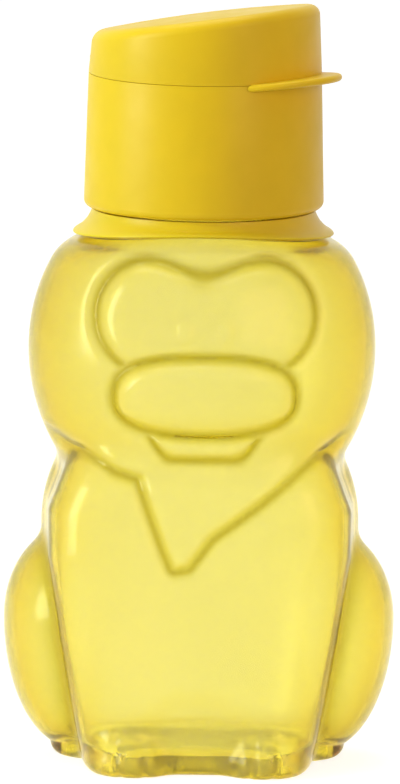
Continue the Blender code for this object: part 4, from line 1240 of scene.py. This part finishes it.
class LION_BOTTLE_OT_seals(bpy.types.Operator):
    """Models the neck's gasket, with a groove in its upper face, and the seal over the spout"""

    bl_idname = "lion_bottle.seals"
    bl_label = "Soft seals"

    def execute(self, context):
        sides = context.scene.lion_bottle_cap.sides
        bead = GASKET_BEAD
        inner, outer = CENTRING_RING_RADIUS + GAP, CAP_INNER - GAP
        middle, top = (inner + outer) / 2, GASKET_Z + GASKET_THICKNESS
        section = [(inner, GASKET_Z + bead), (inner + bead, GASKET_Z), (outer - bead, GASKET_Z)]
        section += [(outer, GASKET_Z + bead), (outer, top - bead), (outer - bead, top)]
        section += [(middle + bead, top), (middle + bead / 2, top - bead / 2), (middle - bead / 2, top - bead / 2)]
        section += [(middle - bead, top), (inner + bead, top), (inner, top - bead)]
        finished(turned("gasket", section, sides), "seal_ring", "Soft pale seal", ["neck_gasket"])
        nose_foot = PLUG_FLANGE_Z - PLUG_NOSE_DEPTH
        dish_z = nose_foot + PLUG_NOSE_DISH
        flange, flange_top = SPOUT_RIM_RADIUS - GAP, PLUG_FLANGE_Z + PLUG_FLANGE_THICKNESS
        tip = PLUG_NOSE_RADIUS - PLUG_NOSE_TAPER
        section = [(0.0, dish_z), (tip - 2 * PLUG_NOSE_DISH, dish_z), (tip - PLUG_NOSE_DISH, nose_foot)]
        section += arc((tip - PLUG_NOSE_ROUND, nose_foot + PLUG_NOSE_ROUND), PLUG_NOSE_ROUND, -90.0, 0.0, 3)
        section += [(PLUG_NOSE_RADIUS, PLUG_FLANGE_Z - PLUG_NOSE_END), (PLUG_NOSE_RADIUS, PLUG_FLANGE_Z)]
        section += arc((flange, PLUG_FLANGE_Z + GAP), GAP, -90.0, 0.0, 3)
        section += arc((flange, flange_top - GAP), GAP, 0.0, 90.0, 3)
        section += [(PLUG_STEM_RADIUS, flange_top), (PLUG_STEM_RADIUS, PLUG_STEM_TOP - GAP)]
        section += [(PLUG_STEM_RADIUS - GAP, PLUG_STEM_TOP), (0.0, PLUG_STEM_TOP)]
        seal = turned("spout_plug", section, sides // 2, (SPOUT_OFFSET, 0.0))
        finished(seal, "lid", "Soft pale seal", ["spout_seal"], turn=CAP_TURN)
        return {"FINISHED"}


# ---------------------------------------------------------------- stage


def seen_rays(tree):
    """1 for rays from the camera, and for those that mirror or pass through, which show the background."""
    path = tree.nodes.new("ShaderNodeLightPath").outputs
    total = path["Is Camera Ray"]
    for label in ("Is Glossy Ray", "Is Transmission Ray"):
        total = calculated(tree, "ADD", total, path[label], clamp=True)
    return total


def floor_finish(colour):
    """A pale floor. For the rays that see it, a little glow lifts it to white and leaves the shadow."""
    made = bpy.data.materials.new("Pale floor")
    made.use_nodes = True
    tree = made.node_tree
    shader = tree.nodes["Principled BSDF"]
    mottle = mixed(tree, noise(tree, 3.0, detail=4.0), colour, Vector(colour) * 0.99)
    for label, value in (("Base Color", mottle), ("Roughness", 0.9), ("Specular IOR Level", 0.1)):
        feed(tree, value, shader.inputs[label])
    glow = tree.nodes.new("ShaderNodeEmission")
    feed(tree, calculated(tree, "MULTIPLY", seen_rays(tree), FLOOR_LIFT), glow.inputs["Strength"])
    both = tree.nodes.new("ShaderNodeAddShader")
    feed(tree, shader.outputs["BSDF"], both.inputs[0])
    feed(tree, glow.outputs["Emission"], both.inputs[1])
    feed(tree, both.outputs["Shader"], tree.nodes["Material Output"].inputs["Surface"])
    return made


def softbox(name, power, place, size, colour):
    """A rectangular soft light that points at the bottle."""
    deselect()
    bpy.ops.object.light_add(type="AREA", location=place)
    lamp = bpy.context.object
    lamp.name = name
    lamp.rotation_euler = (LIGHT_AIM - Vector(place)).to_track_quat("-Z", "Y").to_euler()
    lamp.data.shape = "RECTANGLE"
    lamp.data.size, lamp.data.size_y = size
    lamp.data.energy = power
    lamp.data.color = colour


class LION_BOTTLE_OT_studio(bpy.types.Operator):
    """Lays the pale floor, sets the soft lights and puts the camera at the photograph's angle"""

    bl_idname = "lion_bottle.studio"
    bl_label = "Studio"

    def execute(self, context):
        studio = context.scene.lion_bottle_studio
        deselect()
        bpy.ops.mesh.primitive_grid_add(x_subdivisions=8, y_subdivisions=8, size=2 * studio.floor_half)
        floor = context.object
        floor.name = "pale_floor"
        floor.data.materials.append(floor_finish(studio.floor_colour))
        softbox("key_softbox", studio.key_power, *KEY_LIGHT)
        softbox("top_softbox", studio.top_power, *TOP_LIGHT)
        softbox("fill_softbox", studio.fill_power, *FILL_LIGHT)
        world = bpy.data.worlds.new("Studio")
        context.scene.world = world
        world.use_nodes = True
        tree = world.node_tree
        background = tree.nodes["Background"].inputs
        feed(tree, spread(tree, seen_rays(tree), 0.0, 1.0, studio.sky, 1.0), background["Strength"])
        feed(tree, (1.0, 1.0, 1.0), background["Color"])
        sight = CAMERA_AIM - CAMERA_PLACE
        bpy.ops.object.camera_add()
        camera = context.object
        camera.name = "photo_camera"
        level = sight.to_track_quat("-Z", "Y").to_matrix().to_4x4()
        camera.matrix_world = Matrix.Translation(CAMERA_PLACE) @ level @ Matrix.Rotation(CAMERA_ROLL, 4, "Z")
        camera.data.sensor_fit = "VERTICAL"
        camera.data.sensor_height = CAMERA_SENSOR
        camera.data.lens = CAMERA_SENSOR * sight.length / VIEW_HEIGHT
        context.scene.camera = camera
        context.scene.view_settings.view_transform = "Standard"
        return {"FINISHED"}


class LION_BOTTLE_PT_panel(bpy.types.Panel):
    """Lists the bottle's settings and the steps that make it"""

    bl_idname = "LION_BOTTLE_PT_panel"
    bl_label = "Lion bottle"
    bl_space_type = "VIEW_3D"
    bl_region_type = "UI"
    bl_category = "Lion bottle"

    def draw(self, context):
        for place, group in GROUPS.items():
            for name in group.__annotations__:
                self.layout.prop(getattr(context.scene, place), name)
        for step in STEPS:
            self.layout.operator(step.bl_idname)


STEPS = (
    LION_BOTTLE_OT_body,
    LION_BOTTLE_OT_threads,
    LION_BOTTLE_OT_cap,
    LION_BOTTLE_OT_lid,
    LION_BOTTLE_OT_pin,
    LION_BOTTLE_OT_seals,
    LION_BOTTLE_OT_studio,
)
GROUPS = {
    "lion_bottle_body": LION_BOTTLE_PG_body,
    "lion_bottle_cap": LION_BOTTLE_PG_cap,
    "lion_bottle_studio": LION_BOTTLE_PG_studio,
}
CLASSES = (*GROUPS.values(), *STEPS, LION_BOTTLE_PT_panel)


def register():
    """Makes the sizes, the steps and the panel known to Blender."""
    for each in CLASSES:
        bpy.utils.register_class(each)
    for place, group in GROUPS.items():
        setattr(bpy.types.Scene, place, bpy.props.PointerProperty(type=group))


def unregister():
    """Takes them back out."""
    for place in GROUPS:
        delattr(bpy.types.Scene, place)
    for each in reversed(CLASSES):
        bpy.utils.unregister_class(each)


def main():
    """Makes the bottle and its studio."""
    register()
    bpy.ops.lion_bottle.body()
    bpy.ops.lion_bottle.threads()
    bpy.ops.lion_bottle.cap()
    bpy.ops.lion_bottle.lid()
    bpy.ops.lion_bottle.pin()
    bpy.ops.lion_bottle.seals()
    bpy.ops.lion_bottle.studio()


if __name__ == "__main__":
    main()
